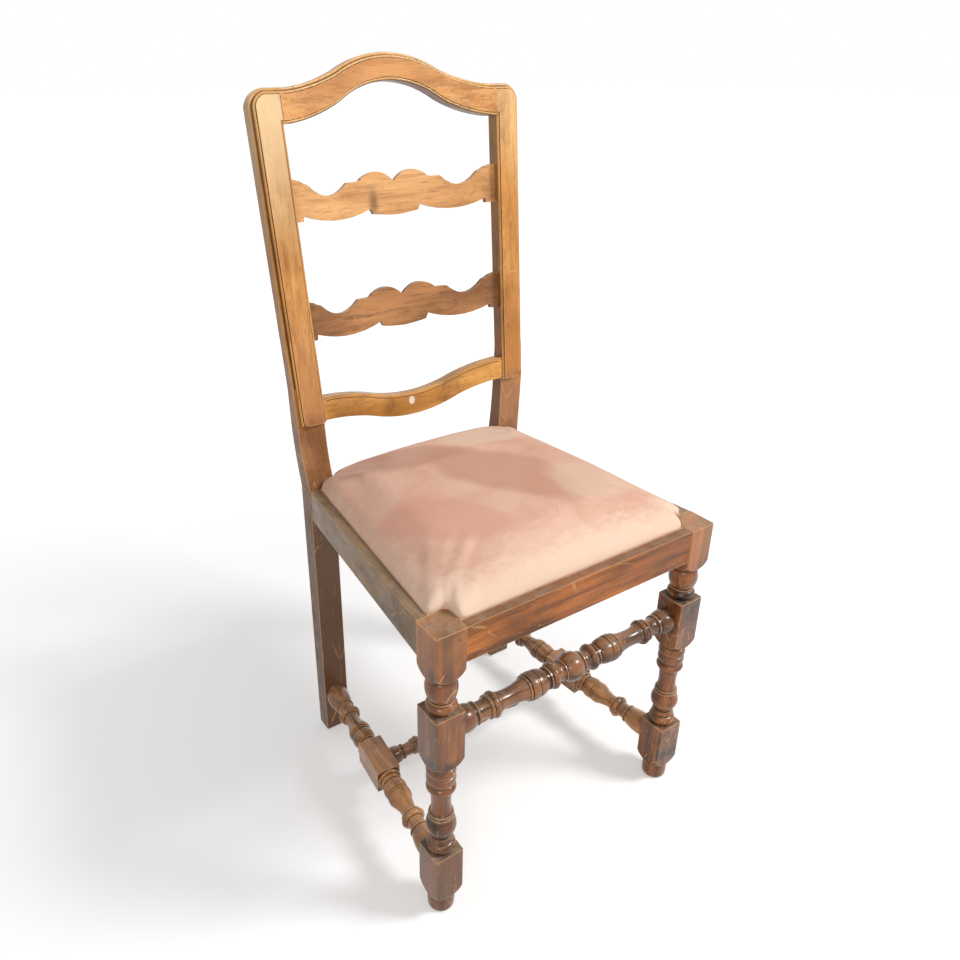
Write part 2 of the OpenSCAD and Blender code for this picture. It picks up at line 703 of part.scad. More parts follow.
module side_stretcher_pegs(gap) {
    reach = side_stretcher_half + peg_length + clear;
    for (end = [0, 1])
        between_y(
            end == 0 ? leg_size - peg_length - gap : seat_depth - lap,
            end == 0 ? leg_size + lap : seat_depth + peg_length + gap
        ) on_side_stretcher() cylinder(h = 2 * reach, r = peg_radius + gap, center = true);
}

module side_block() {
    cube([side_block_size, side_block_size, side_block_length], center = true);
}

module side_turning() {
    end = side_stretcher_half + 4;
    profile = outline(spread(short_turning, side_block_length / 2, end, side_stretcher_radius));
    rotate_extrude() polygon(concat([[0, 0], [0.5 * side_stretcher_radius, 0]], profile, [[0, end]]));
}

module side_stretcher(side) {
    on_side(side) difference() {
        union() {
            between_y(leg_size, seat_depth) on_side_stretcher() {
                side_block();
                side_turning();
                mirror([0, 0, 1]) side_turning();
            }
            side_stretcher_pegs(0);
        }
        cross_stretcher_peg(joint_gap);
    }
}

module left_side_stretcher() { color("saddlebrown") placed() side_stretcher(-1); }
module right_side_stretcher() { color("saddlebrown") placed() side_stretcher(1); }

module cross_stretcher_peg(gap) {
    translate([cross_half - 2 * lap, side_stretcher_y, low_stretcher_height]) rotate([0, 90, 0])
        cylinder(h = 2 * lap + peg_length + gap, r = peg_radius - 1 + gap);
}

// Its ends are cut to the slanting faces of the side stretchers' blocks.
module cross_stretcher() {
    color("saddlebrown") placed() {
        difference() {
            translate([0, side_stretcher_y, low_stretcher_height])
                lying_bar(cross_half + 3, cross_stretcher_radius);
            for (side = [-1, 1]) on_side(side) on_side_stretcher() side_block();
        }
        for (side = [-1, 1]) on_side(side) cross_stretcher_peg(0);
    }
}

// ---- Glued corner blocks and their screws ----

// The ends of each block's slanting face: first on the front or rear rail, then on the side rail.
front_block_start = [front_leg_inner_x - corner_block_size, front_rail_inner_y];
front_block_end_y = leg_size + corner_block_size;
front_block_end = [side_rail_inner_x(front_block_end_y), front_block_end_y];
rear_block_start = [rear_leg_inner_x - corner_block_size, rear_rail_y];
rear_block_end_y = seat_depth - corner_block_size;
rear_block_end = [side_rail_inner_x(rear_block_end_y), rear_block_end_y];

// A countersunk screw that enters the middle of a slanting face, square to it.
module corner_screw(start, end, way, gap) {
    run = end - start;
    middle = (start + end) / 2;
    translate([middle[0], middle[1], corner_block_foot + corner_block_height / 2])
        rotate([0, 0, way + atan2(run[1], run[0])]) rotate([0, 90, 0]) {
            translate([0, 0, -gap]) cylinder(h = screw_length + 2 * gap, r = screw_radius + gap);
            translate([0, 0, -gap])
                cylinder(h = screw_radius + gap, r1 = 2 * screw_radius + 2 * gap, r2 = screw_radius + gap);
        }
}

// Both screws on the right-hand side.
module corner_screws(gap) {
    corner_screw(front_block_start, front_block_end, -90, gap);
    corner_screw(rear_block_start, rear_block_end, 90, gap);
}

module corner_block(side, start, end, leg_face_y, leg_inner_x) {
    away = leg_face_y < seat_depth / 2 ? corner_gap : -corner_gap;
    corner_y = leg_face_y + away;
    on_side(side) difference() {
        translate([0, 0, corner_block_foot]) linear_extrude(corner_block_height) polygon([
            start, [leg_inner_x - corner_gap, start[1]], [leg_inner_x - corner_gap, corner_y],
            [side_rail_inner_x(corner_y), corner_y], end
        ]);
        corner_screws(joint_gap);
    }
}

module front_corner_block(side) {
    corner_block(side, front_block_start, front_block_end, leg_size, front_leg_inner_x);
}

module rear_corner_block(side) {
    corner_block(side, rear_block_start, rear_block_end, seat_depth, rear_leg_inner_x);
}

module front_left_corner_block() { color("tan") placed() front_corner_block(-1); }
module front_right_corner_block() { color("tan") placed() front_corner_block(1); }
module rear_left_corner_block() { color("tan") placed() rear_corner_block(-1); }
module rear_right_corner_block() { color("tan") placed() rear_corner_block(1); }

module corner_block_screws() {
    color("gray") placed() for (side = [-1, 1]) on_side(side) corner_screws(0);
}

// ---- Drop-in seat ----

// Plan of the seat, notched round the four legs and set in from the rebate by an amount.
module seat_plan(inset) {
    front = rail_step + ledge_width + inset;
    back = rear_rail_y + rail_thickness - ledge_width - inset;
    notch_front = leg_size + inset;
    notch_back = seat_depth - inset;
    side_in = side_rail_x - ledge_width / cos(side_angle) - inset;
    front_side_x = side_in - (notch_front - leg_size) * side_slope;
    back_side_x = side_in - (notch_back - leg_size) * side_slope;
    right = [
        [front_leg_inner_x - inset, front], [front_leg_inner_x - inset, notch_front],
        [front_side_x, notch_front], [back_side_x, notch_back],
        [rear_leg_inner_x - inset, notch_back], [rear_leg_inner_x - inset, back]
    ];
    polygon(concat(right, back_in_x(right)));
}

module crown(drop) {
    translate([0, crown_middle_y, seat_height + crown_height - crown_radius])
        sphere(crown_radius - drop, $fn = wide_arc_facets);
}

module tacks(gap) {
    front = rail_step + ledge_width + tack_inset;
    back = rear_rail_y + rail_thickness - ledge_width - tack_inset;
    for (i = [0:tacks_per_edge - 1], row = [[front, front_leg_inner_x], [back, rear_leg_inner_x]]) {
        span = row[1] - tack_inset - corner_block_size;
        translate([span * (2 * i / (tacks_per_edge - 1) - 1), row[0], 0]) tack(gap);
    }
    for (i = [0:tacks_per_edge - 1], side = [-1, 1]) {
        y = leg_size + 1.8 * corner_block_size
            + i * (side_rail_run - 3.6 * corner_block_size) / (tacks_per_edge - 1);
        x = side_rail_x - ledge_width - tack_inset - (y - leg_size) * side_slope;
        translate([side * x, y, 0]) tack(gap);
    }
}

// A tack's shank runs up through the turned-under edge into the board. Its head stays below.
module tack(gap) {
    translate([0, 0, ledge_height - tack_head_height])
        cylinder(h = tack_head_height, r = tack_head_radius + gap);
    translate([0, 0, ledge_height - lap / 2])
        cylinder(h = tack_length + lap / 2 + gap, r = tack_shank_radius + gap);
}

module seat_board() {
    color("burlywood") placed() difference() {
        translate([0, 0, board_foot]) linear_extrude(board_thickness) seat_plan(seat_gap + cover_thickness);
        tacks(joint_gap);
    }
}

module seat_padding() {
    color("white") placed() intersection() {
        translate([0, 0, board_top]) linear_extrude(crown_height)
            seat_plan(seat_gap + cover_thickness + padding_gap);
        crown(cover_thickness + padding_gap);
    }
}

module seat_cover() {
    color("rosybrown") placed() difference() {
        intersection() {
            translate([0, 0, ledge_height]) linear_extrude(rebate_depth + crown_height + lap)
                seat_plan(seat_gap);
            crown(0);
        }
        intersection() {
            translate([0, 0, board_foot]) linear_extrude(rebate_depth + crown_height + lap)
                seat_plan(seat_gap + cover_thickness);
            crown(cover_thickness);
        }
        translate([0, 0, ledge_height - lap]) linear_extrude(2 * cover_thickness + lap)
            seat_plan(seat_gap + turn_under);
        tacks(joint_gap);
    }
}

module seat_tacks() { color("dimgray") placed() tacks(0); }

front_leg_left();
front_leg_right();
rear_leg_left();
rear_leg_right();
front_seat_rail();
rear_seat_rail();
left_seat_rail();
right_seat_rail();
crest_rail();
upper_slat();
lower_slat();
lower_back_rail();
front_stretcher();
left_side_stretcher();
right_side_stretcher();
cross_stretcher();
front_left_corner_block();
front_right_corner_block();
rear_left_corner_block();
rear_right_corner_block();
corner_block_screws();
seat_board();
seat_padding();
seat_cover();
seat_tacks();
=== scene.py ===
# %% [markdown]
# # A worn ladder-back dining chair
# The chair's construction comes ready made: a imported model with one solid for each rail, leg and
# slat. This lesson gives it its looks in Blender: eased edges, beads round the back frame,
# a stuffed velvet seat, and old varnish with grain, scratches and rubbed corners. Everything is in
# metres, +Z is up, and the chair faces -Y.

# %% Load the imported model
import math

import bmesh
import bpy
from mathutils import Euler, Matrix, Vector


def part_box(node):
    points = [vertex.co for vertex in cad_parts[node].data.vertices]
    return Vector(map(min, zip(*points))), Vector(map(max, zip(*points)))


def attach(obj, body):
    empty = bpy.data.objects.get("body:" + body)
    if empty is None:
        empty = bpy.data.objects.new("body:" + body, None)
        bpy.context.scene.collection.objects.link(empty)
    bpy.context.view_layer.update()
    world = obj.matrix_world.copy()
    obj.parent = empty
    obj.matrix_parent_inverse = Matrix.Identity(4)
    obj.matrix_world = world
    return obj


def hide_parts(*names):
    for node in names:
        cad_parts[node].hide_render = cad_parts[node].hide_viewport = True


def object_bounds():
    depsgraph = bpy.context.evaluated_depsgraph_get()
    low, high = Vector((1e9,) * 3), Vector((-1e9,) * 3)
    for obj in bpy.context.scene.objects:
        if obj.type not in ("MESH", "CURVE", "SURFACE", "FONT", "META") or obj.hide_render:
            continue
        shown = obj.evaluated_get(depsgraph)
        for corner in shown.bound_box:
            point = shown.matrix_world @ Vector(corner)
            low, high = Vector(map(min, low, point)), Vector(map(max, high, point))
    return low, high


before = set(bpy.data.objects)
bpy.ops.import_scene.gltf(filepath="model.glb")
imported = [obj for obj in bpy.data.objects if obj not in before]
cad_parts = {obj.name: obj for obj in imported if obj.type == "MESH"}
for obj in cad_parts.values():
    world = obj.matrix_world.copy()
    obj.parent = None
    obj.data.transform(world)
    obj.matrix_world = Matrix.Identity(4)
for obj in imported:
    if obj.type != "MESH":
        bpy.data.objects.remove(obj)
cad_low, cad_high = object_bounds()
print("the chair measures", [round(v, 3) for v in cad_high - cad_low], "metres")

# %% [markdown]
# ## The camera
# A chair is best seen from a standing person's eye height, a little to its left. The lens is
# a moderate wide one, 31 mm on a 36 mm sensor, so near parts look a little larger than far ones.
# A small shift slides the picture in its frame without turning the camera, which keeps uprights
# from leaning more than they should.

# %% Camera
def placed(name, data):
    """A new object with this data, put in the scene."""
    made = bpy.data.objects.new(name, data)
    bpy.context.scene.collection.objects.link(made)
    return made


looking = Vector((0.498, 0.752, -0.433)).normalized()
camera_data = bpy.data.cameras.new("camera")
camera_data.lens = 30.69
camera_data.sensor_width = 36.0
camera_data.shift_x = 0.0433
camera_data.shift_y = -0.0290
camera = placed("camera", camera_data)
camera.location = (-0.5994, -0.8125, 1.0024)
camera.rotation_euler = looking.to_track_quat("-Z", "Y").to_euler()
bpy.context.scene.camera = camera
print("camera at", [round(v, 3) for v in camera.location])

# %% [markdown]
# ## Small helpers for materials
# A material is a little network: textures make patterns, maths shapes them into masks, and the
# masks mix colours. Writing each node by hand is long, so `add` makes a node and fills its inputs
# in one line: a plain value is typed in, and another node's output is linked. The helpers after
# it each make one kind of node and give back what it puts out.

# %% Node helpers
VECTOR, COLOUR, VALUE = "NodeSocketVector", "NodeSocketColor", "NodeSocketFloat"


def fill(tree, node, inputs):
    """Types each plain value into its input, and links each output of another node."""
    for key, value in inputs.items():
        if isinstance(value, bpy.types.NodeSocket):
            tree.links.new(value, node.inputs[key])
        else:
            node.inputs[key].default_value = value


def add(tree, kind, inputs=None, **settings):
    made = tree.nodes.new(kind)
    for key, value in settings.items():
        setattr(made, key, value)
    fill(tree, made, inputs or {})
    return made


def mix(tree, factor, first, second):
    inputs = {0: factor, 6: first, 7: second}
    return add(tree, "ShaderNodeMix", inputs, data_type="RGBA").outputs[2]


def maths(tree, what, first, second=0.0):
    return add(tree, "ShaderNodeMath", {0: first, 1: second}, operation=what).outputs[0]


def vector_maths(tree, what, first, second=(0, 0, 0)):
    return add(tree, "ShaderNodeVectorMath", {0: first, 1: second}, operation=what).outputs


def between(tree, value, low, high, out_low=0.0, out_high=1.0):
    """Goes softly from out_low to out_high while the value goes from low to high."""
    inputs = {0: value, 1: low, 2: high, 3: out_low, 4: out_high}
    return add(tree, "ShaderNodeMapRange", inputs, interpolation_type="SMOOTHSTEP").outputs[0]


def noise_of(tree, place, scale, detail=4.0, roughness=0.55, distortion=0.0):
    inputs = {"Vector": place, "Scale": scale, "Detail": detail, "Roughness": roughness,
              "Distortion": distortion}
    return add(tree, "ShaderNodeTexNoise", inputs).outputs[0]


def moved(tree, place, scale=(1, 1, 1), turn=(0, 0, 0), shift=(0, 0, 0)):
    inputs = {"Vector": place, "Location": shift, "Rotation": turn, "Scale": scale}
    return add(tree, "ShaderNodeMapping", inputs).outputs[0]


def object_place(tree):
    return add(tree, "ShaderNodeTexCoord").outputs["Object"]


def surface_normal(tree):
    return add(tree, "ShaderNodeNewGeometry").outputs["Normal"]


def stored(tree, name):
    """A value that each point of the mesh carries under this name."""
    return add(tree, "ShaderNodeAttribute", attribute_name=name).outputs["Fac"]


def parts_of(tree, vector):
    """The X, Y and Z parts of a place or a direction."""
    return add(tree, "ShaderNodeSeparateXYZ", {0: vector}).outputs


def bumped(tree, height, strength, distance):
    inputs = {"Height": height, "Strength": strength, "Distance": distance}
    return add(tree, "ShaderNodeBump", inputs).outputs[0]


def tint(red, green, blue):
    """A colour as on a paint chart, 0 to 255, turned into the linear values Blender mixes."""
    parts = [v / 255 for v in (red, green, blue)]
    linear = [v / 12.92 if v < 0.04045 else ((v + 0.055) / 1.055) ** 2.4 for v in parts]
    return (*linear, 1.0)


def new_material(name):
    """A new material, its node tree and the Principled shader in it."""
    material = bpy.data.materials.new(name)
    material.use_nodes = True
    return material, material.node_tree, material.node_tree.nodes["Principled BSDF"]


def new_group(name, inputs, outputs):
    """A new node group, what it is given, and the node that takes its results."""
    tree = bpy.data.node_groups.new(name, "ShaderNodeTree")
    for in_out, sockets in (("INPUT", inputs), ("OUTPUT", outputs)):
        for label, kind in sockets.items():
            tree.interface.new_socket(name=label, in_out=in_out, socket_type=kind)
    return tree, tree.nodes.new("NodeGroupInput").outputs, tree.nodes.new("NodeGroupOutput")


def placed_group(tree, group, **inputs):
    return add(tree, "ShaderNodeGroup", inputs, node_tree=group).outputs


print("the helpers are ready")

# %% [markdown]
# ## Wood figure
# Walnut and beech show three sizes of detail: broad bands of growth, finer streaks along the
# grain, and tiny dark pores. Each is a noise stretched along one axis. The group expects the
# grain to run along Z; a Mapping node in each material turns it for rails that lie down.

# %% Wood figure group
# How densely each detail lies: twice across the grain, then along it.
BANDS = (26, 26, 2.2)
STREAKS = (150, 150, 5)
PORES = (620, 620, 26)
CLOUDS = (9, 9, 5)


def make_figure_group():
    tree, given, result = new_group(
        "Wood figure",
        {"Place": VECTOR, "Pale": COLOUR, "Rich": COLOUR, "Deep": COLOUR, "Streaks": VALUE},
        {"Color": COLOUR, "Height": VALUE})
    place, deep = given["Place"], given["Deep"]
    bands = noise_of(tree, moved(tree, place, BANDS), 1.0, 3.0, 0.5, 1.2)
    streaks = noise_of(tree, moved(tree, place, STREAKS), 1.0, 5.0, 0.6, 0.4)
    pores = noise_of(tree, moved(tree, place, PORES), 1.0, 2.0, 0.5)
    clouds = noise_of(tree, moved(tree, place, CLOUDS, shift=(3, 1, 2)), 1.0, 3.0, 0.5)
    base = mix(tree, between(tree, bands, 0.34, 0.66), given["Pale"], given["Rich"])
    base = mix(tree, between(tree, clouds, 0.48, 0.72, 0.0, 0.6), base, deep)
    lines = maths(tree, "MULTIPLY", between(tree, streaks, 0.46, 0.70), given["Streaks"])
    base = mix(tree, lines, base, deep)
    dots = between(tree, pores, 0.60, 0.70, 0.0, 0.5)
    base = mix(tree, dots, base, mix(tree, 0.5, deep, (0, 0, 0, 1)))
    ridges = maths(tree, "MULTIPLY", streaks, 0.4)
    pits = maths(tree, "MULTIPLY", dots, 0.9)
    fill(tree, result, {"Color": base, "Height": maths(tree, "SUBTRACT", ridges, pits)})
    return tree


figure_group = make_figure_group()
print("made the group", figure_group.name)

# %% [markdown]
# ## Wear and painted shade
# Varnish goes first where hands and shoes rub: on edges. A Bevel node gives the normal that
# a rounded edge would have. Where it differs from the true normal there is an edge, and a noise
# breaks that line up. Scratches are thin stretched cells, and dust settles on what faces up.
# Sides and undersides get painted shade: they are darkened by the way they face. A mark is a soft
# spot at one place, such as a nail hole or a heat ring. Each of them is a group that puts out one
# mask, so every finish can use it with its own amounts.

# %% Wear and painted shade groups
# Each kind of scratch runs its own way and has its own cell size.
SCRATCHES = [((0.35, 0.15, 0.0), 34.0), ((-0.9, 0.5, 0.4), 46.0), ((1.3, -0.4, 0.9), 60.0)]
STRETCHED = (1.0, 1.0, 0.16)


def mask_of(tree, group, **inputs):
    """Places a wear group and gives back its mask."""
    return placed_group(tree, group, **inputs)["Mask"]


def make_edge_group():
    tree, given, result = new_group(
        "Rubbed edges", {"Place": VECTOR, "Reach": VALUE, "Amount": VALUE}, {"Mask": VALUE})
    soft = add(tree, "ShaderNodeBevel", {"Radius": given["Reach"]}, samples=6).outputs[0]
    same = vector_maths(tree, "DOT_PRODUCT", soft, surface_normal(tree))["Value"]
    edge = between(tree, maths(tree, "SUBTRACT", 1.0, same), 0.02, 0.14)
    patches = noise_of(tree, given["Place"], 42.0, 6.0, 0.65)
    raised = maths(tree, "ADD", patches, maths(tree, "MULTIPLY", given["Amount"], 0.35))
    broken = between(tree, raised, 0.52, 0.68)
    fill(tree, result, {"Mask": maths(tree, "MULTIPLY", edge, broken)})
    return tree


def make_scratch_group():
    tree, given, result = new_group(
        "Scratches", {"Place": VECTOR, "Amount": VALUE}, {"Mask": VALUE})
    total = None
    for turn, size in SCRATCHES:
        bent = moved(tree, given["Place"], STRETCHED, turn)
        inputs = {"Vector": bent, "Scale": size, "Randomness": 1.0}
        cells = add(tree, "ShaderNodeTexVoronoi", inputs, feature="DISTANCE_TO_EDGE")
        line = between(tree, cells.outputs["Distance"], 0.0, 0.012, 1.0, 0.0)
        elsewhere = moved(tree, given["Place"], shift=(size, 0, 1))
        where = between(tree, noise_of(tree, elsewhere, 16.0, 4.0, 0.7), 0.52, 0.60)
        line = maths(tree, "MULTIPLY", line, where)
        total = line if total is None else maths(tree, "MAXIMUM", total, line)
    fill(tree, result, {"Mask": maths(tree, "MULTIPLY", total, given["Amount"])})
    return tree


def make_dust_group():
    tree, given, result = new_group(
        "Settled dust", {"Place": VECTOR, "Amount": VALUE}, {"Mask": VALUE})
    flat = between(tree, parts_of(tree, surface_normal(tree))[2], 0.60, 0.99)
    patches = noise_of(tree, given["Place"], 60.0, 5.0, 0.7)
    settled = maths(tree, "MULTIPLY", flat, between(tree, patches, 0.35, 0.75, 0.25, 1.0))
    fill(tree, result, {"Mask": maths(tree, "MULTIPLY", settled, given["Amount"])})
    return tree


# Painted shade: faces turned sideways or down are darkened by the way they face.
def make_side_shade_group():
    tree, given, result = new_group("Painted side shade", {"Amount": VALUE}, {"Mask": VALUE})
    normal = parts_of(tree, surface_normal(tree))
    sideways = between(tree, maths(tree, "ABSOLUTE", normal[0]), 0.55, 0.95)
    downwards = between(tree, normal[2], -0.35, -0.85)
    either = maths(tree, "MAXIMUM", maths(tree, "MULTIPLY", sideways, 0.9), downwards)
    fill(tree, result, {"Mask": maths(tree, "MULTIPLY", either, given["Amount"])})
    return tree


def make_mark_group():
    tree, given, result = new_group(
        "Mark", {"Place": VECTOR, "Centre": VECTOR, "Size": VECTOR, "Softness": VALUE},
        {"Mask": VALUE})
    away = vector_maths(tree, "SUBTRACT", given["Place"], given["Centre"])[0]
    share = vector_maths(tree, "DIVIDE", away, given["Size"])[0]
    length = vector_maths(tree, "LENGTH", share)["Value"]
    inner = maths(tree, "SUBTRACT", 1.0, given["Softness"])
    fill(tree, result, {"Mask": between(tree, length, inner, 1.0, 1.0, 0.0)})
    return tree


edge_group = make_edge_group()
scratch_group = make_scratch_group()
dust_group = make_dust_group()
side_shade_group = make_side_shade_group()
mark_group = make_mark_group()
print("made the wear groups")

# %% [markdown]
# ## Varnished wood
# One function makes every wooden finish, so that all parts of the chair age alike. The maker
# chooses three wood colours, the way the grain runs, and how rubbed, scratched, stained and dusty
# the piece is. `kicked` is how scratched it is low down, where shoes reach. `stained_top` is how
# stained it is just under the seat, and `shaded` is how much painted shade darkens the sides and
# undersides. `blends` changes the colour between two heights, as where a leg is darker than its
# top, and `marks` are single spots. Turned pieces carry a value called groove that is high in
# their quirks, which are painted dark: painted shade, with dirt. The varnish is the Principled
# shader's coat, glossy where it is whole and dull where it is worn or dusty.

# %% Varnished wood
GRAIN_TURNS = {"z": (0, 0, 0), "x": (0, math.pi / 2, 0), "y": (math.pi / 2, 0, 0)}
BARE_WOOD = tint(228, 176, 116)
DUST = tint(178, 160, 140)
# How light the dark is that stains and painted shade go towards, as a share of the deep colour.
STAIN_AND_SHADE_LIGHTNESS = 0.30
EDGE_REACH = 0.0020
# Heights between which an amount changes, and how far a noise moves the border of a blend.
SCUFF_HEIGHTS = (0.52, 0.34)
STAIN_HEIGHTS = (0.41, 0.37)
WAVER = 0.12


def blended(tree, colour, place, height, blends):
    """Changes a colour between two heights, where a noise makes the border waver."""
    waver = maths(tree, "MULTIPLY", noise_of(tree, place, 14.0), WAVER)
    wavy = maths(tree, "ADD", height, waver)
    for low, high, other, amount in blends:
        share = between(tree, wavy, low + WAVER / 2, high + WAVER / 2, 0.0, amount)
        colour = mix(tree, share, colour, tint(*other))
    return colour


def marked(tree, colour, place, marks):
    for centre, size, softness, shade in marks:
        spot = mask_of(tree, mark_group, Place=place, Centre=centre, Size=size, Softness=softness)
        colour = mix(tree, spot, colour, tint(*shade))
    return colour


def varnished(name, along, colours, streaks=0.6, rubbed=0.5, scratched=0.4, stained=0.4,
              dusty=0.3, rough=0.34, coat=0.25, shaded=0.0, kicked=0.0, stained_top=None,
              blends=(), marks=(), shift=(0, 0, 0)):
    material, tree, shader = new_material(name)
    true_place = object_place(tree)
    height = parts_of(tree, true_place)[2]
    place = moved(tree, true_place, shift=shift)
    grain = moved(tree, place, turn=GRAIN_TURNS[along])
    pale, rich, deep = [tint(*c) for c in colours]
    dark = tuple(v * STAIN_AND_SHADE_LIGHTNESS for v in deep[:3]) + (1.0,)
    figure = placed_group(tree, figure_group, Place=grain, Pale=pale, Rich=rich, Deep=deep,
                          Streaks=streaks)
    colour = blended(tree, figure["Color"], place, height, blends)
    # Stains, painted shade on sides and undersides, and painted shade with dirt in quirks share
    # one dark.
    if stained_top is not None:
        stained = between(tree, height, *STAIN_HEIGHTS, stained_top, stained)
    spread = noise_of(tree, moved(tree, place, shift=(7, 2, 5)), 15.0, 5.0, 0.62)
    blots = maths(tree, "MULTIPLY", between(tree, spread, 0.50, 0.70), stained)
    colour = mix(tree, blots, colour, dark)
    # Painted shade on the sides and undersides.
    if shaded:
        colour = mix(tree, mask_of(tree, side_shade_group, Amount=shaded), colour, dark)
    # Painted shade with dirt: the quirks of turned pieces go dark by their groove value.
    groove = stored(tree, "groove")
    colour = mix(tree, between(tree, groove, 0.1, 0.9, 0.0, 0.8), colour, dark)
    # Edges and scratches show bare wood, and dust lies over them.
    edges = mask_of(tree, edge_group, Place=place, Reach=EDGE_REACH, Amount=rubbed)
    edges = maths(tree, "MULTIPLY", edges, between(tree, groove, 0.05, 0.5, 1.0, 0.0))
    opened = maths(tree, "MULTIPLY", edges, min(1.0, rubbed + 0.25))
    colour = mix(tree, opened, colour, BARE_WOOD)
    scuffing = between(tree, height, *SCUFF_HEIGHTS, scratched, max(scratched, kicked))
    lines = mask_of(tree, scratch_group, Place=grain, Amount=scuffing)
    colour = mix(tree, lines, colour, BARE_WOOD)
    dust = mask_of(tree, dust_group, Place=place, Amount=dusty)
    colour = marked(tree, mix(tree, dust, colour, DUST), true_place, marks)
    # The varnish is gone where it is scraped, and dull under dust.
    scraped = maths(tree, "MAXIMUM", edges, lines)
    worn_off = maths(tree, "MAXIMUM", scraped, between(tree, dust, 0.1, 0.45))
    uneven = noise_of(tree, place, 30.0, 5.0, 0.6)
    patchy = between(tree, uneven, 0.35, 0.7, rough - 0.06, rough + 0.16)
    whole = maths(tree, "SUBTRACT", 1.0, worn_off)
    relief = maths(tree, "SUBTRACT", figure["Height"], maths(tree, "MULTIPLY", scraped, 0.8))
    waves = maths(tree, "MULTIPLY", noise_of(tree, place, 22.0, 2.0), 1.6)
    fill(tree, shader, {
        "Base Color": colour,
        "Roughness": maths(tree, "ADD", patchy, maths(tree, "MULTIPLY", worn_off, 0.3)),
        "Specular IOR Level": 0.2,
        "Coat Weight": maths(tree, "MULTIPLY", whole, coat),
        "Coat Roughness": 0.16,
        "Normal": bumped(tree, maths(tree, "ADD", relief, waves), 0.35, 0.0006),
    })
    return material


print("bare wood, in linear values:", [round(v, 2) for v in BARE_WOOD[:3]])

# %% [markdown]
# ## The chair's finishes
# The back was handled and bleached by light, so its wood is honey coloured. The legs stood in
# shadow and kept their dark polish. Each palette goes from pale to deep. A blend is a low height,
# a high height, the other colour and its amount, and a mark is a centre, a size, a softness and
# a colour. Every finish has its own shift, so no two rails show the same figure.

# %% Wood finishes
honey = ((226, 168, 96), (200, 136, 66), (146, 90, 40))
amber = ((234, 172, 108), (208, 142, 80), (152, 98, 52))
tan = ((232, 176, 116), (208, 148, 92), (158, 106, 60))
cocoa = ((196, 138, 86), (166, 112, 68), (106, 68, 38))
brass = ((226, 166, 88), (196, 134, 62), (130, 82, 36))
walnut = ((148, 98, 62), (92, 58, 36), (36, 22, 14))
cherry = ((190, 108, 42), (118, 66, 28), (42, 24, 13))
hazel = ((206, 144, 90), (150, 100, 60), (70, 44, 26))
russet = ((184, 106, 42), (136, 77, 32), (68, 38, 17))
olive = ((146, 114, 72), (116, 86, 52), (74, 52, 30))
pine = ((222, 190, 140), (202, 164, 112), (160, 120, 76))

# The rear legs are dark below the raised frame, and paler towards the top of the back.
low_blends = [(0.575, 0.520, (150, 104, 74), 0.72), (0.49, 0.40, (80, 59, 46), 0.74)]
left_blends = [(0.74, 0.98, (250, 220, 174), 0.72), (0.78, 0.60, (186, 126, 80), 0.60)]
right_blends = [(0.80, 1.02, (240, 202, 146), 0.70), (0.86, 0.62, (184, 120, 58), 0.55)]
bead_blends = [(0.80, 1.02, (234, 196, 138), 0.5)]
block_blends = [(0.44, 0.34, (96, 66, 46), 0.45), (0.38, 0.43, (186, 124, 64), 0.35)]
nail_holes = [
    ((-0.1895, cad_low.y, 0.438), (0.0016, 0.004, 0.0016), 0.4, (28, 16, 12)),
    ((-0.2200, cad_low.y + 0.033, 0.440), (0.004, 0.0016, 0.0016), 0.4, (28, 16, 12)),
]
heat_ring = [((-0.005, 0.150, 0.5435), (0.0060, 0.05, 0.0074), 0.35, (228, 216, 196))]
# A darker patch and a thin dark line on the upper slat, near its left notch.
slat_dark_patch = [
    ((-0.035, 0.190, 0.826), (0.012, 0.06, 0.030), 0.98, (138, 98, 66)),
    ((-0.0365, 0.190, 0.8085), (0.004, 0.06, 0.004), 0.8, (64, 42, 28)),
]
# `shaded` sets how much painted shade darkens the sides and undersides.
stile = {"rubbed": 0.8, "scratched": 0.5, "stained": 0.45, "shaded": 0.62, "kicked": 0.7}

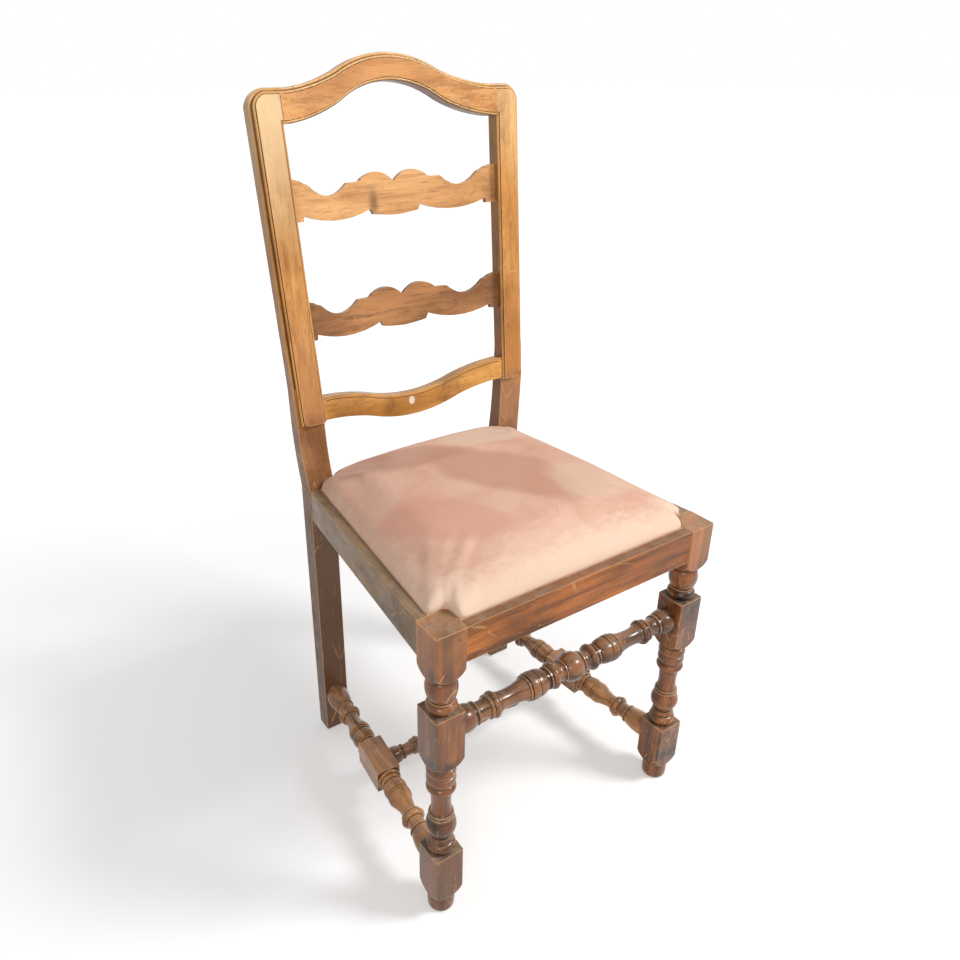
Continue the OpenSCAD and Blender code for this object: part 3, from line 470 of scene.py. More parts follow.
wood = {
    "left_stile": varnished("left_stile_varnish", "z", honey, blends=left_blends + low_blends,
                            **stile),
    "right_stile": varnished("right_stile_varnish", "z", honey, blends=right_blends + low_blends,
                             **stile),
    "bead": varnished("bead_varnish", "z", honey, rubbed=0.3, scratched=0.1, stained=0.3,
                      blends=bead_blends),
    "crest": varnished("crest_varnish", "x", amber, scratched=0.25, stained=0.25, shaded=0.85),
    "upper_slat": varnished("upper_slat_varnish", "x", tan, rubbed=0.4, scratched=0.25,
                            stained=0.3, shaded=0.6, marks=slat_dark_patch, shift=(2, 0, 3)),
    "lower_slat": varnished("lower_slat_varnish", "x", cocoa, rubbed=0.35, scratched=0.3,
                            stained=0.45, shaded=0.6, shift=(6, 0, 1)),
    "low_rail": varnished("low_rail_varnish", "x", brass, scratched=0.3, stained=0.5,
                          shaded=0.7, marks=heat_ring, shift=(5, 0, 0)),
    "front_rail": varnished("front_rail_varnish", "x", russet, rubbed=0.8, stained=0.3,
                            dusty=0.5, coat=0.15, shift=(1, 4, 0)),
    "side_rail": varnished("side_rail_varnish", "y", olive, rubbed=1.0, scratched=0.5,
                           stained=0.45, dusty=0.55),
    "turned_up": varnished("leg_varnish", "z", cherry, rubbed=0.7, stained=1.0, dusty=0.7,
                           rough=0.24, coat=0.45, kicked=0.6, stained_top=0.35,
                           blends=block_blends, marks=nail_holes),
    "turned_x": varnished("cross_varnish", "x", walnut, streaks=0.85, rubbed=0.55,
                          stained=0.65, dusty=0.4, rough=0.22, coat=0.45, shift=(4, 0, 2)),
    "turned_y": varnished("side_turning_varnish", "y", hazel, rubbed=0.6, stained=0.9,
                          rough=0.22, coat=0.45, shift=(0, 3, 6)),
    "bare": varnished("bare_pine", "x", pine, rubbed=0.2, scratched=0.2, stained=0.3,
                      rough=0.7, coat=0.0),
}
print("made", len(wood), "wood finishes")

# %% [markdown]
# ## Easing the edges
# A construction solid has knife-sharp edges, and light never catches them. A joiner takes every
# edge off with a block plane. Here a copy of each solid has its loose triangles merged, its flat
# faces joined, and its sharp edges bevelled. A weighted normal keeps the broad faces flat. The
# copy drops the normals that came with the solid, because they no longer fit its new faces.

# %% Pieces from the construction solids
# How much is planed off an edge.
CRISP, PLAIN, SOFT, ROUND = 0.0006, 0.0009, 0.0012, 0.0015
SHARP = math.radians(35)
ALMOST_FLAT = math.radians(0.3)
SAME_POINT = 2e-6


def merged_copy(node):
    form = bmesh.new()
    form.from_mesh(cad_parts[node].data)
    bmesh.ops.remove_doubles(form, verts=form.verts, dist=SAME_POINT)
    return form


def mesh_from(form, name):
    """Writes a form to a new mesh and lets the form go."""
    mesh = bpy.data.meshes.new(name)
    form.to_mesh(mesh)
    form.free()
    return mesh


def finished(form, name, material, nodes, smooth=35.0):
    mesh = mesh_from(form, name)
    if "custom_normal" in mesh.attributes:
        mesh.attributes.remove(mesh.attributes["custom_normal"])
    mesh.shade_smooth()
    mesh.set_sharp_from_angle(angle=math.radians(smooth))
    mesh.materials.append(material)
    piece = placed(name, mesh)
    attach(piece, "root")
    if nodes:
        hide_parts(*nodes)
    return piece


def eased(node, material, width=PLAIN):
    form = merged_copy(node)
    bmesh.ops.dissolve_limit(form, angle_limit=ALMOST_FLAT, verts=form.verts, edges=form.edges)
    sharp = [e for e in form.edges if len(e.link_faces) == 2 and e.calc_face_angle() > SHARP]
    bmesh.ops.bevel(form, geom=sharp, offset=width, segments=2, profile=0.5, affect="EDGES",
                    clamp_overlap=True, material=-1)
    piece = finished(form, node + "_wood", material, [node])
    flat = piece.modifiers.new("flat faces", "WEIGHTED_NORMAL")
    flat.keep_sharp = True
    flat.weight = 100
    print("eased", node, len(piece.data.polygons), "faces")


# %% [markdown]
# ## Turned legs and stretchers
# A turner cuts beads, coves and narrow quirks. The finish paints a quirk dark: painted shade, with
# the dirt it gathers. Each point of a turned piece looks at its neighbours: where one of them
# stands higher than the surface here, the point lies in a hollow. That depth is stored as
# "groove". A turned piece is smooth already, so its edges are left as they were cut.

# %% Turned pieces
QUIRK_START, QUIRK_RANGE = 0.12, 0.35


def hollow(vertex):
    """From 0 on a bead to 1 in a quirk: how steeply the nearest points rise."""
    runs = [e.other_vert(vertex).co - vertex.co for e in vertex.link_edges]
    rise = max(run.normalized().dot(vertex.normal) for run in runs)
    return min(1.0, max(0.0, (rise - QUIRK_START) / QUIRK_RANGE))


def turned(node, material):
    form = merged_copy(node)
    form.normal_update()
    depths = [hollow(v) for v in form.verts]
    piece = finished(form, node + "_wood", material, [node], smooth=30.0)
    # The groove depth, which the varnish turns into painted shade with dirt.
    groove = piece.data.attributes.new("groove", "FLOAT", "POINT")
    for entry, depth in zip(groove.data, depths):
        entry.value = depth
    print("turned", node, len(piece.data.polygons), "faces")


for side in ("left", "right"):
    eased(f"rear_leg_{side}", wood[f"{side}_stile"], CRISP)
    eased(f"{side}_seat_rail", wood["side_rail"], SOFT)
    turned(f"front_leg_{side}", wood["turned_up"])
    turned(f"{side}_side_stretcher", wood["turned_y"])
eased("crest_rail", wood["crest"], CRISP)
eased("upper_slat", wood["upper_slat"])
eased("lower_slat", wood["lower_slat"])
eased("lower_back_rail", wood["low_rail"], ROUND)
eased("front_seat_rail", wood["front_rail"], SOFT)
eased("rear_seat_rail", wood["front_rail"], SOFT)
turned("front_stretcher", wood["turned_x"])
turned("cross_stretcher", wood["turned_x"])
for corner in ("front_left", "front_right", "rear_left", "rear_right"):
    eased(f"{corner}_corner_block", wood["bare"])

# %% [markdown]
# ## The back frame's edges
# The frame's outer edge is moulded: two small beads with dark quirks between them run up one
# stile, round its corner, along the arched crest and down the other side. The solids have plain
# steps there. The beads could be cut into the solids, but they are easier to run along a path.
# A path is drawn flat for the right half, in millimetres across and up the frame, then mirrored,
# leaned back and bowed with the frame.

# %% The frame's edges as paths
# The frame's place in metres: how it leans, where its foot is, how its stiles splay, and its bow.
LEAN = math.radians(7.1)
FRAME_FOOT = Vector((0.0, 0.1394, 0.549))
SPLAY = 0.02387
BOW_DEPTH = 0.016
BOW_RADIUS = 0.798
# The outlines in the frame's own plane, in millimetres.
STILE_INSIDE = 154.0
STILE_WIDTH = 33.0
CREST_TOP, CREST_RISE = 419.0, 42.0
CREST_UNDERSIDE, UNDERSIDE_RISE = 389.5, 49.0
CREST_REACH = 155.0
CORNER_RADIUS = 12.0
RAIL_TOP, RAIL_RISE = 34.5, 26.0
RAIL_REACH = 148.0
STRAIGHT_STEPS = 12


def frame_point(x, depth, height):
    """A point on the leaning frame in millimetres: across, back from the face, up the slope."""
    arc = math.sqrt(BOW_RADIUS ** 2 - (x / 1000) ** 2)
    back = depth / 1000 + max(0.0, BOW_DEPTH - BOW_RADIUS + arc)
    up = height / 1000
    y = FRAME_FOOT.y + back * math.cos(LEAN) + up * math.sin(LEAN)
    return Vector((x / 1000, y, FRAME_FOOT.z - back * math.sin(LEAN) + up * math.cos(LEAN)))


def bulged(start, end, bulge, steps=10):
    """Points after start on the way to end, pushed to the left of the way by the bulge."""
    run = Vector(end) - Vector(start)
    side = Vector((-run.y, run.x)).normalized()
    shares = [i / steps for i in range(1, steps + 1)]
    return [Vector(start) + run * t + side * 4 * bulge * t * (1 - t) for t in shares]


def straight(start, end, first=0):
    """Points on the way from start to end."""
    run = Vector(end) - Vector(start)
    return [Vector(start) + run * i / STRAIGHT_STEPS for i in range(first, STRAIGHT_STEPS + 1)]


def arch(foot, rise, reach=CREST_REACH):
    """Half an S-shaped arch, from its peak in the middle to its foot."""
    middle = (reach / 2, foot + rise / 2)
    return [Vector((0, foot + rise))] + bulged((0, foot + rise), middle, rise * 0.125) \
        + bulged(middle, (reach, foot), rise * -0.075)


def outer_path(away, foot=2.0):
    """Along the crest and down the right stile, at a distance from the stile's inner edge."""
    beyond = away - STILE_WIDTH
    top = CREST_TOP + beyond
    corner = CORNER_RADIUS + beyond
    outer = STILE_INSIDE + away
    turn = (outer + (top - corner) * SPLAY - corner, top)
    below = (outer + (top - corner) * SPLAY, top - corner)
    rounded = [Vector(turn)] + bulged(turn, below, corner * 0.2, 6)
    down = straight(below, (outer + foot * SPLAY, foot), first=1)
    return arch(top, CREST_RISE) + rounded + down


def inner_path(away, foot=36.0):
    """Along the underside of the crest and down the inner edge of the right stile."""
    top = CREST_UNDERSIDE - away
    edge = STILE_INSIDE + away
    down = straight((edge + top * SPLAY, top), (edge + foot * SPLAY, foot))
    return arch(top, UNDERSIDE_RISE) + down


def rail_path(below):
    """Along the top edge of the lower back rail, a distance below it."""
    return [Vector((p.x, RAIL_TOP - p.y - below)) for p in arch(0.0, RAIL_RISE, RAIL_REACH)]


def both_sides(half):
    return [Vector((-p.x, p.y)) for p in reversed(half[1:])] + half


print("a path round the frame has", len(both_sides(outer_path(STILE_WIDTH))), "points")

# %% [markdown]
# ## Beads and quirks
# A bead is a round bar half sunk in its step, so each one is a curve with a round bevel that
# follows a path, turned into a mesh with closed ends. A thinner curve in a dull dark material lies
# in each quirk: painted shade, with the dirt that a quirk gathers.

# %% Beads and quirks
def evaluated_mesh(piece):
    """The mesh that a curve or a piece with modifiers makes."""
    bpy.context.view_layer.update()
    graph = bpy.context.evaluated_depsgraph_get()
    return bpy.data.meshes.new_from_object(piece.evaluated_get(graph))


def bead(name, path, depth, radius, material):
    curve = bpy.data.curves.new(name, "CURVE")
    curve.dimensions = "3D"
    curve.bevel_depth = radius
    curve.bevel_resolution = 3
    curve.use_fill_caps = True
    points = [frame_point(p.x, depth, p.y) for p in both_sides(path)]
    spline = curve.splines.new("POLY")
    spline.points.add(len(points) - 1)
    for entry, point in zip(spline.points, points):
        entry.co = (*point, 1.0)
    carrier = placed(name + "_curve", curve)
    form = bmesh.new()
    form.from_mesh(evaluated_mesh(carrier))
    bpy.data.objects.remove(carrier)
    bmesh.ops.remove_doubles(form, verts=form.verts, dist=1e-6)
    bmesh.ops.recalc_face_normals(form, faces=form.faces)
    piece = finished(form, name, material, [], smooth=60.0)
    print("ran", name, len(piece.data.polygons), "faces")


# Painted shade with dirt: a dull dark brown for the curves that lie in the quirks.
def make_quirk_shade_and_dirt():
    material, tree, shader = new_material("painted_quirk_shade_and_dirt")
    patches = noise_of(tree, object_place(tree), 90.0, 4.0, 0.6)
    fill(tree, shader, {
        "Base Color": mix(tree, between(tree, patches, 0.35, 0.7), tint(74, 46, 28),
                          tint(120, 82, 52)),
        "Roughness": between(tree, patches, 0.3, 0.7, 0.6, 0.85),
    })
    return material


quirk_shade_and_dirt = make_quirk_shade_and_dirt()
# Each row: the name, its path, how far back from the frame's face in millimetres, the radius in
# metres, and the material.
# The quirk rows are painted shade with dirt; the bead rows are wood.
for row in (
        ("outer_bead", outer_path(34.9), 2.5, 0.0015, wood["bead"]),
        ("edge_bead", outer_path(38.9), 8.0, 0.0021, wood["bead"]),
        ("face_quirk", outer_path(33.2), 2.4, 0.0005, quirk_shade_and_dirt),
        ("edge_quirk", outer_path(36.6), 7.6, 0.0008, quirk_shade_and_dirt),
        ("inner_bead", inner_path(1.9), 2.2, 0.0014, wood["bead"]),
        ("inner_quirk", inner_path(3.9), 2.0, 0.00045, quirk_shade_and_dirt),
        ("rail_quirk", rail_path(5.0), 2.0, 0.0005, quirk_shade_and_dirt)):
    bead(*row)

# %% [markdown]
# ## The velvet
# Velvet is a dense pile. Seen along the pile it looks pale, seen into it it looks deep, so it
# needs sheen, and patches where the pile was brushed another way. Some patches are clouds of
# noise. Others are long ovals with wavering outlines: painted light and shade, with brushed pile.
# The colour also fades where people sit down and along the edges, which a value called rub says.
# Specks of lint lie on it.

# %% Velvet material
SEAT_LEVEL = 0.48
LIGHT_AND_PILE_SOFTNESS = 0.35
LIGHT_AND_PILE_STRENGTH = 0.62


def noise_at(tree, place, scale, amount):
    """A small push in every direction, to make a clean outline waver."""
    noise = add(tree, "ShaderNodeTexNoise", {"Vector": place, "Scale": scale, "Detail": 3.0})
    centred = vector_maths(tree, "SUBTRACT", noise.outputs["Color"], (0.5, 0.5, 0.5))[0]
    inputs = {0: centred, "Scale": amount}
    return add(tree, "ShaderNodeVectorMath", inputs, operation="SCALE").outputs[0]


def light_and_pile_patch(x, y, turn, long, short, shade):
    """An oval of painted light and shade with brushed pile: turned so that its length lies along
    X.
    """
    centre = Vector((x, y, SEAT_LEVEL))
    centre.rotate(Euler((0, 0, turn)))
    return turn, tuple(centre), (long, short, 0.2), shade


# Painted light and shade on the seat, with brushed pile: the first three ovals darken, the last
# two lighten.
LIGHT_AND_PILE_PATCHES = [
    light_and_pile_patch(-0.085, 0.085, 0.42, 0.130, 0.040, (186, 140, 120)),
    light_and_pile_patch(0.015, -0.030, 1.05, 0.135, 0.062, (190, 136, 110)),
    light_and_pile_patch(-0.110, -0.090, 0.90, 0.100, 0.050, (216, 158, 136)),
    light_and_pile_patch(0.070, 0.085, 0.10, 0.085, 0.042, (230, 202, 178)),
    light_and_pile_patch(0.110, -0.110, 0.80, 0.070, 0.060, (224, 192, 166)),
]


def make_velvet():
    material, tree, shader = new_material("dusty_pink_velvet")
    place = object_place(tree)
    brushed = noise_of(tree, moved(tree, place, (7, 5, 5)), 1.0, 5.0, 0.6, 0.8)
    wavering = vector_maths(tree, "ADD", place, noise_at(tree, place, 9.0, 0.060))[0]
    nap = noise_of(tree, moved(tree, place, (60, 120, 60)), 1.0, 4.0, 0.65, 0.6)
    pile = noise_of(tree, place, 900.0, 2.0, 0.7)
    colour = mix(tree, between(tree, brushed, 0.35, 0.68), tint(233, 191, 168),
                 tint(216, 164, 140))
    colour = mix(tree, between(tree, nap, 0.45, 0.75, 0.0, 0.35), colour, tint(236, 203, 180))
    colour = mix(tree, between(tree, pile, 0.3, 0.7, 0.0, 0.22), colour, tint(196, 142, 122))
    # Painted light and shade: each oval mixes its own colour into the velvet.
    for turn, centre, size, shade in LIGHT_AND_PILE_PATCHES:
        lengthwise = moved(tree, wavering, turn=(0, 0, turn))
        light_and_pile_mask = mask_of(tree, mark_group, Place=lengthwise, Centre=centre, Size=size,
                        Softness=LIGHT_AND_PILE_SOFTNESS)
        colour = mix(tree, maths(tree, "MULTIPLY", light_and_pile_mask, LIGHT_AND_PILE_STRENGTH), colour, tint(*shade))
    uneven = maths(tree, "MULTIPLY", maths(tree, "SUBTRACT", nap, 0.5), 0.9)
    faded = maths(tree, "ADD", stored(tree, "rub"), uneven)
    colour = mix(tree, between(tree, faded, 0.20, 1.0, 0.0, 0.8), colour, tint(236, 208, 184))
    specks = add(tree, "ShaderNodeTexVoronoi", {"Vector": place, "Scale": 62.0})
    lint = maths(tree, "MULTIPLY", between(tree, specks.outputs["Distance"], 0.03, 0.06, 1.0, 0.0),
                 between(tree, noise_of(tree, place, 19.0, 2.0), 0.58, 0.62))
    relief = maths(tree, "ADD", nap, maths(tree, "MULTIPLY", pile, 0.5))
    fill(tree, shader, {
        "Base Color": mix(tree, lint, colour, tint(112, 78, 66)),
        "Roughness": between(tree, nap, 0.3, 0.7, 0.82, 0.96),
        "Specular IOR Level": 0.15,
        "Sheen Weight": 0.35,
        "Sheen Roughness": 0.45,
        "Sheen Tint": tint(255, 230, 214),
        "Normal": bumped(tree, relief, 0.5, 0.0007),
    })
    return material


velvet = make_velvet()
print("made", velvet.name, "with", len(LIGHT_AND_PILE_PATCHES), "sweeps")

# %% [markdown]
# ## The stuffed seat
# The cushion is a board with wadding under a tight cover, and it drops between the four legs. It
# could be modelled as one smooth pillow, but its plan is notched round the legs, so the plan comes
# first. Its corners are measured from the solids, so the cushion always fits its frame.

# %% Seat plan
cover_low, cover_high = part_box("seat_cover")
leg_low, leg_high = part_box("front_leg_right")
rear_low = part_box("rear_leg_right")[0]
seat_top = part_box("front_seat_rail")[1].z
CLEARANCE = 0.0006
SIDE_TAPER = 0.0985
notch_front = leg_high.y + CLEARANCE
notch_rear = rear_low.y - CLEARANCE
inner_front = leg_low.x - CLEARANCE
inner_rear = rear_low.x - CLEARANCE
side_front = cover_high.x
side_rear = side_front - (notch_rear - notch_front) * SIDE_TAPER
half_plan = [Vector(corner) for corner in (
    (inner_front, cover_low.y), (inner_front, notch_front), (side_front, notch_front),
    (side_rear, notch_rear), (inner_rear, notch_rear), (inner_rear, cover_high.y))]
plan = half_plan + [Vector((-p.x, p.y)) for p in reversed(half_plan)]
print("the seat's plan has", len(plan), "corners")

# %% [markdown]
# ## The crown of the cushion
# The wadding is thick in the middle of a seat and thin at its edge. The plan is extruded to a slab
# and remeshed to even quads, and each point is lifted to a crown. The crown is worked out from how
# near a point is to the sides and the ends. Close to the real edge, notches included, the cover
# also rolls down, as cloth does over a board's edge.

# %% Crowned slab
SLAB_FOOT = seat_top - 0.002
SLAB_HEIGHT = 0.030
QUAD_SIZE = 0.0045
# How far in from the sides, the front and the back the cover reaches its crown.
SIDE_REACH, FRONT_REACH, BACK_REACH = 0.075, 0.070, 0.045
# How thick the edge is at the front, and how much thicker at the back.
FRONT_EDGE, EDGE_RISE = 0.008, 0.010
# How much the crown falls towards the sides and the ends, over half the seat's width and depth.
SIDE_FALL, END_FALL = 0.012, 0.006
HALF_WIDTH, HALF_DEPTH = 0.19, 0.185
# What is left for the cloth to rise by, and the narrow roll at the real edge.
CLOTH_ROOM = 0.002
ROLL_WIDTH, ROLL_FOOT, ROLL_START = 0.007, 0.004, 0.35


def edge_distance(x, y):
    """How far a point of the plan lies from the nearest edge."""
    point = Vector((x, y))
    nearest = 1.0
    for start, end in zip(plan, plan[1:] + plan[:1]):
        run = end - start
        share = min(1.0, max(0.0, (point - start).dot(run) / run.length_squared))
        nearest = min(nearest, (point - start - run * share).length)
    return nearest


def crown_height(x, y):
    """Height of the cover over the rails at a point of the plan."""
    share = (y - cover_low.y) / (cover_high.y - cover_low.y)
    middle_y = (cover_low.y + cover_high.y) / 2
    side = side_front - max(0.0, y - notch_front) * SIDE_TAPER
    near_side = min(1.0, max(0.0, 1.0 - (side - abs(x)) / SIDE_REACH))
    near_front = 1.0 - (y - cover_low.y) / FRONT_REACH
    near_back = 1.0 - (cover_high.y - y) / BACK_REACH
    near_end = min(1.0, max(0.0, near_front, near_back))
    near = min(1.0, (near_side ** 4 + near_end ** 4) ** 0.25)
    swell = (1.0 - near ** 2.1) ** 0.6
    edge = FRONT_EDGE + EDGE_RISE * share
    fall = SIDE_FALL * (x / HALF_WIDTH) ** 2 + END_FALL * ((y - middle_y) / HALF_DEPTH) ** 2
    crown = cover_high.z - seat_top - CLOTH_ROOM - fall
    top = edge + (crown - edge) * swell
    rolled = min(1.0, max(0.0, 1.0 - edge_distance(x, y) / ROLL_WIDTH))
    roll = ROLL_START + (1.0 - ROLL_START) * math.sqrt(1.0 - rolled ** 2)
    return ROLL_FOOT + (top - ROLL_FOOT) * roll


def apply_modifiers(piece):
    mesh = evaluated_mesh(piece)
    piece.modifiers.clear()
    piece.data = mesh


def crowned_seat():
    form = bmesh.new()
    corners = [form.verts.new((p.x, p.y, SLAB_FOOT)) for p in plan]
    face = form.faces.new(corners)
    lifted = bmesh.ops.extrude_face_region(form, geom=[face])["geom"]
    upper = [v for v in lifted if isinstance(v, bmesh.types.BMVert)]
    bmesh.ops.translate(form, verts=upper, vec=(0, 0, SLAB_HEIGHT))
    bmesh.ops.recalc_face_normals(form, faces=form.faces)
    piece = placed("seat_velvet", mesh_from(form, "seat_velvet"))
    remesh = piece.modifiers.new("even quads", "REMESH")
    remesh.mode = "VOXEL"
    remesh.voxel_size = QUAD_SIZE
    apply_modifiers(piece)
    for v in piece.data.vertices:
        share = (v.co.z - SLAB_FOOT) / SLAB_HEIGHT
        top = seat_top + crown_height(v.co.x, v.co.y)
        v.co.z = SLAB_FOOT + share * (top - SLAB_FOOT)
    return piece


seat = crowned_seat()
print("crowned seat:", len(seat.data.vertices), "points")

# %% [markdown]
# ## Pulling the cover tight
# Wadding presses outwards and the cover holds it in. A cloth simulation with a little pressure
# inside does the same: twenty steps even out the crown and raise small pulls at the notches.

# %% Cloth
CLOTH_STEPS = 20
HELD_BAND = 0.003
FURTHEST_MOVE = 0.005


def tighten(piece):
    start = [v.co.copy() for v in piece.data.vertices]
    held = piece.vertex_groups.new(name="held")
    for v in piece.data.vertices:
        weight = 1.0 if v.co.z < seat_top + HELD_BAND else 0.0
        held.add([v.index], weight, "REPLACE")
    cloth = piece.modifiers.new("cover", "CLOTH")
    cloth.settings.vertex_group_mass = "held"
    cloth.settings.use_pressure = True
    cloth.settings.uniform_pressure_force = 4.0
    cloth.settings.quality = 6
    cloth.settings.mass = 0.25
    cloth.settings.tension_stiffness = 18
    cloth.settings.compression_stiffness = 18
    cloth.settings.effector_weights.gravity = 0.0
    cloth.point_cache.frame_start = 1
    cloth.point_cache.frame_end = CLOTH_STEPS
    scene = bpy.context.scene
    for number in range(1, CLOTH_STEPS + 1):
        scene.frame_set(number)
    apply_modifiers(piece)
    scene.frame_set(1)
    furthest = 0.0
    for v, place in zip(piece.data.vertices, start):
        step = v.co - place
        furthest = max(furthest, step.length)
        if step.length > FURTHEST_MOVE:
            v.co = place + step * (FURTHEST_MOVE / step.length)
    print("the cloth moved up to", round(furthest * 1000, 2), "mm")


tighten(seat)

# %% [markdown]
# ## Creases and rubbed edges
# Where the cover is folded round the notch of the front left leg, the velvet is pulled into two
# short creases. Each crease is a line: points near it sink, and points just beside it rise. The
# remeshed surface is smoothed first, and a subdivision last makes the pile's surface even.

# %% Soften and finish the seat
CREASES = [((-0.182, -0.190), (-0.170, -0.174)), ((-0.175, -0.197), (-0.163, -0.181))]
CREASE_DEPTH, CREASE_WIDTH = 0.0014, 0.0026
RIDGE_HEIGHT, RIDGE_AWAY, RIDGE_WIDTH = 0.0008, 0.006, 0.003
CREASED_ABOVE = 0.004
EDGE_RUB_REACH, FRONT_RUB_REACH = 0.040, 0.12


def crease_depth(x, y):
    depth = 0.0
    for start, end in CREASES:
        first, run = Vector(start), Vector(end) - Vector(start)
        share = min(1.0, max(0.0, (Vector((x, y)) - first).dot(run) / run.length_squared))
        away = (Vector((x, y)) - first - run * share).length
        fading = 1.0 - 0.7 * share
        sunk = CREASE_DEPTH * math.exp(-(away / CREASE_WIDTH) ** 2)
        raised = RIDGE_HEIGHT * math.exp(-((away - RIDGE_AWAY) / RIDGE_WIDTH) ** 2)
        depth += fading * (sunk - raised)
    return depth


def rub_at(x, y):
    """From 0 where the pile is fresh to 1 where it is worn: at the edges and the front."""
    edge = max(0.0, 1.0 - edge_distance(x, y) / EDGE_RUB_REACH)
    front = max(0.0, 1.0 - (y - cover_low.y) / FRONT_RUB_REACH)
    return min(1.0, 0.6 * edge + 0.5 * front)


def finish_seat(piece):
    form = bmesh.new()
    form.from_mesh(piece.data)
    for _ in range(3):
        bmesh.ops.smooth_vert(form, verts=form.verts, factor=0.5, use_axis_x=True,
                              use_axis_y=True, use_axis_z=True)
    for v in form.verts:
        if v.co.z > seat_top + CREASED_ABOVE:
            v.co.z -= crease_depth(v.co.x, v.co.y)
    form.to_mesh(piece.data)
    form.free()
    rub = piece.data.attributes.new("rub", "FLOAT", "POINT")
    for v in piece.data.vertices:
        rub.data[v.index].value = rub_at(v.co.x, v.co.y)
    piece.data.materials.clear()
    piece.data.materials.append(velvet)
    piece.data.shade_smooth()
    smooth = piece.modifiers.new("smooth pile", "SUBSURF")
    smooth.levels = smooth.render_levels = 1
    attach(piece, "root")
    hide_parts("seat_cover", "seat_padding")


finish_seat(seat)
print("finished the seat")

# %% [markdown]
# ## The cover's turned-under edge
# The cover goes on down past the rail tops and under the board. This part is flat and hidden, so
# a copy of the solid cover, cut off level with the rail tops, serves as it is.

# %% Turned-under edge of the cover
def cover_skirt():
    form = merged_copy("seat_cover")
    everything = list(form.verts) + list(form.edges) + list(form.faces)
    bmesh.ops.bisect_plane(form, geom=everything, plane_co=(0, 0, seat_top - 0.001),
                           plane_no=(0, 0, 1), clear_outer=True)
    rim = [e for e in form.edges if e.is_boundary]
    bmesh.ops.holes_fill(form, edges=rim)
    piece = finished(form, "cover_turned_under", velvet, [])
    rub = piece.data.attributes.new("rub", "FLOAT", "POINT")
    for entry in rub.data:
        entry.value = 0.2
    return piece


skirt = cover_skirt()
print("made", skirt.name)

# %% [markdown]
# ## Small steel parts and the board
# Nobody sees these unless the chair is turned over, but they get real finishes too: dull steel
# with specks of rust for the screws and tacks, and bare plywood for the board.

# %% Board, screws and tacks
def make_steel():
    material, tree, shader = new_material("dull_steel")
    spots = noise_of(tree, object_place(tree), 320.0, 5.0, 0.65)
    fill(tree, shader, {
        "Base Color": mix(tree, between(tree, spots, 0.45, 0.65), tint(150, 146, 140),
                          tint(112, 78, 56)),
        "Roughness": between(tree, spots, 0.3, 0.7, 0.35, 0.8),
        "Metallic": between(tree, spots, 0.5, 0.65, 0.9, 0.2),
    })
    return material


def repaint(node, material):
    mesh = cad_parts[node].data
    if not mesh.materials:
        mesh.materials.append(material)
    for index in range(len(mesh.materials)):
        mesh.materials[index] = material


steel = make_steel()
ply = ((216, 182, 132), (196, 158, 106), (158, 118, 76))
plywood = varnished("plywood", "x", ply, rubbed=0.2, scratched=0.2, rough=0.72, coat=0.0)
for node, material in (("corner_block_screws", steel), ("seat_tacks", steel),
                       ("seat_board", plywood), ("seat_padding", velvet), ("seat_cover", velvet)):
    repaint(node, material)
    print("painted", node, "with", material.name)

# %% [markdown]
# ## Floor
# A chair for a catalogue stands on a white floor. A floor lit like the chair would be grey, so
# this one also glows, but only for the camera and in reflections: it looks white without throwing
# extra light on the chair, and it still takes the chair's shadow. Near the chair it glows less,
# so the shadow stays deep there.

# %% Floor
FLOOR_GLOW = (0.32, 0.70)
GLOW_REACH = (0.3, 2.2)


def only_seen(tree):
    """One for rays from the camera, in reflections and through glass, and zero for other light."""
    path = add(tree, "ShaderNodeLightPath")
    seen = maths(tree, "MAXIMUM", path.outputs["Is Camera Ray"], path.outputs["Is Glossy Ray"])
    return maths(tree, "MAXIMUM", seen, path.outputs["Is Transmission Ray"])


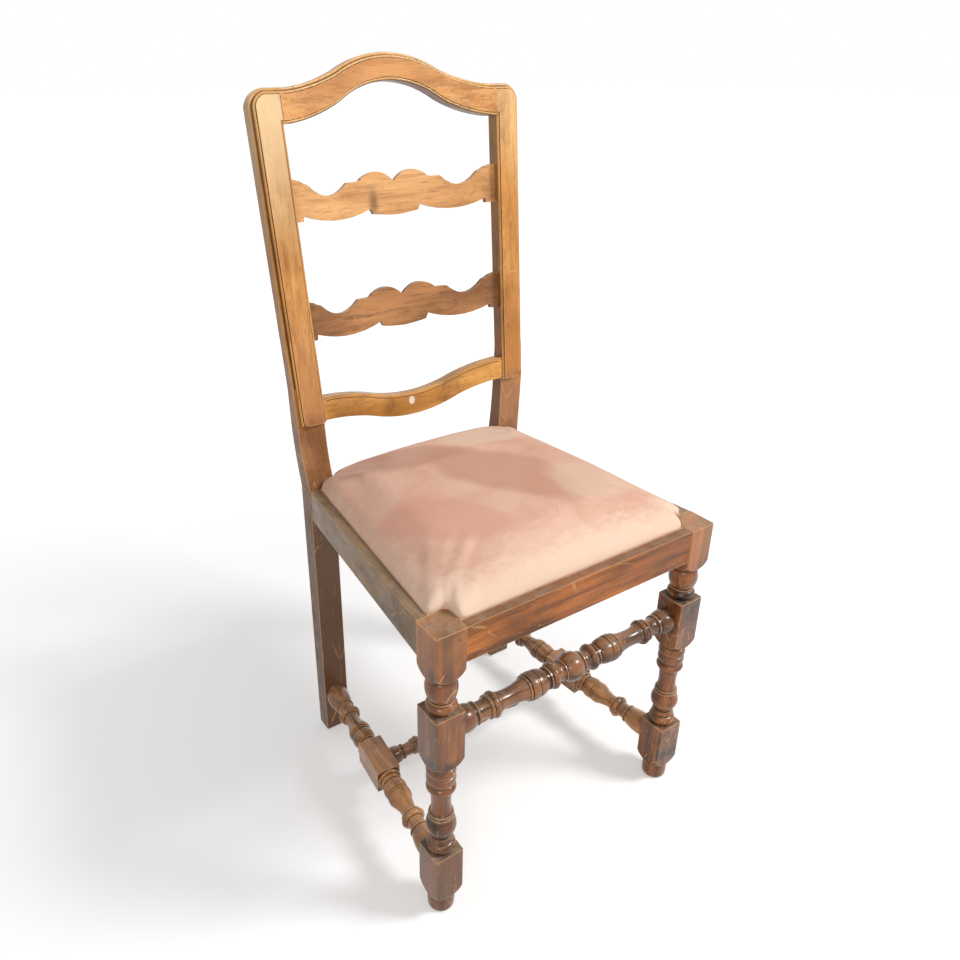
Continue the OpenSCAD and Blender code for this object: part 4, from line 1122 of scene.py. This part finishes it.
def make_floor():
    form = bmesh.new()
    bmesh.ops.create_grid(form, x_segments=1, y_segments=1, size=30.0)
    floor = placed("floor", mesh_from(form, "floor"))
    material, tree, _ = new_material("white_floor")
    tree.nodes.clear()
    matt = add(tree, "ShaderNodeBsdfDiffuse", {"Color": (0.80, 0.80, 0.80, 1)})
    away = vector_maths(tree, "LENGTH", object_place(tree))["Value"]
    glow_there = between(tree, away, *GLOW_REACH, *FLOOR_GLOW)
    strength = maths(tree, "MULTIPLY", only_seen(tree), glow_there)
    glow = add(tree, "ShaderNodeEmission", {"Color": (1, 1, 1, 1), "Strength": strength})
    both = add(tree, "ShaderNodeAddShader", {0: matt.outputs[0], 1: glow.outputs[0]})
    add(tree, "ShaderNodeOutputMaterial", {"Surface": both.outputs[0]})
    floor.data.materials.append(material)
    return floor


floor = make_floor()
print("laid the", floor.name)

# %% [markdown]
# ## World and lamps
# A large soft lamp on the chair's right gives its form and one clear shadow. A weaker lamp on the
# left and a pale world fill that shadow. The world is seen pure white, but it lights the chair
# less than that, or the wood would look washed out.

# %% World and lamps
WORLD_LIGHT, WORLD_SEEN = 0.44, 1.0
CHAIR_MIDDLE = (0, 0, 0.5)


def make_world():
    world = bpy.data.worlds.new("studio")
    world.use_nodes = True
    tree = world.node_tree
    tree.nodes.clear()
    strength = between(tree, only_seen(tree), 0.0, 1.0, WORLD_LIGHT, WORLD_SEEN)
    sky = add(tree, "ShaderNodeBackground", {"Color": (1, 1, 1, 1), "Strength": strength})
    add(tree, "ShaderNodeOutputWorld", {"Surface": sky.outputs[0]})
    bpy.context.scene.world = world


def lamp(name, place, size, power):
    data = bpy.data.lights.new(name, "AREA")
    data.shape = "DISK"
    data.size = size
    data.energy = power
    made = placed(name, data)
    made.location = place
    towards = Vector(CHAIR_MIDDLE) - Vector(place)
    made.rotation_euler = towards.to_track_quat("-Z", "Y").to_euler()
    print("hung the", name, "lamp,", power, "W")


make_world()
lamp("key", (1.6, -1.5, 2.3), size=0.8, power=58.0)
lamp("fill", (-2.0, -2.2, 1.6), size=1.2, power=22.0)
bpy.context.scene.view_settings.view_transform = "Standard"
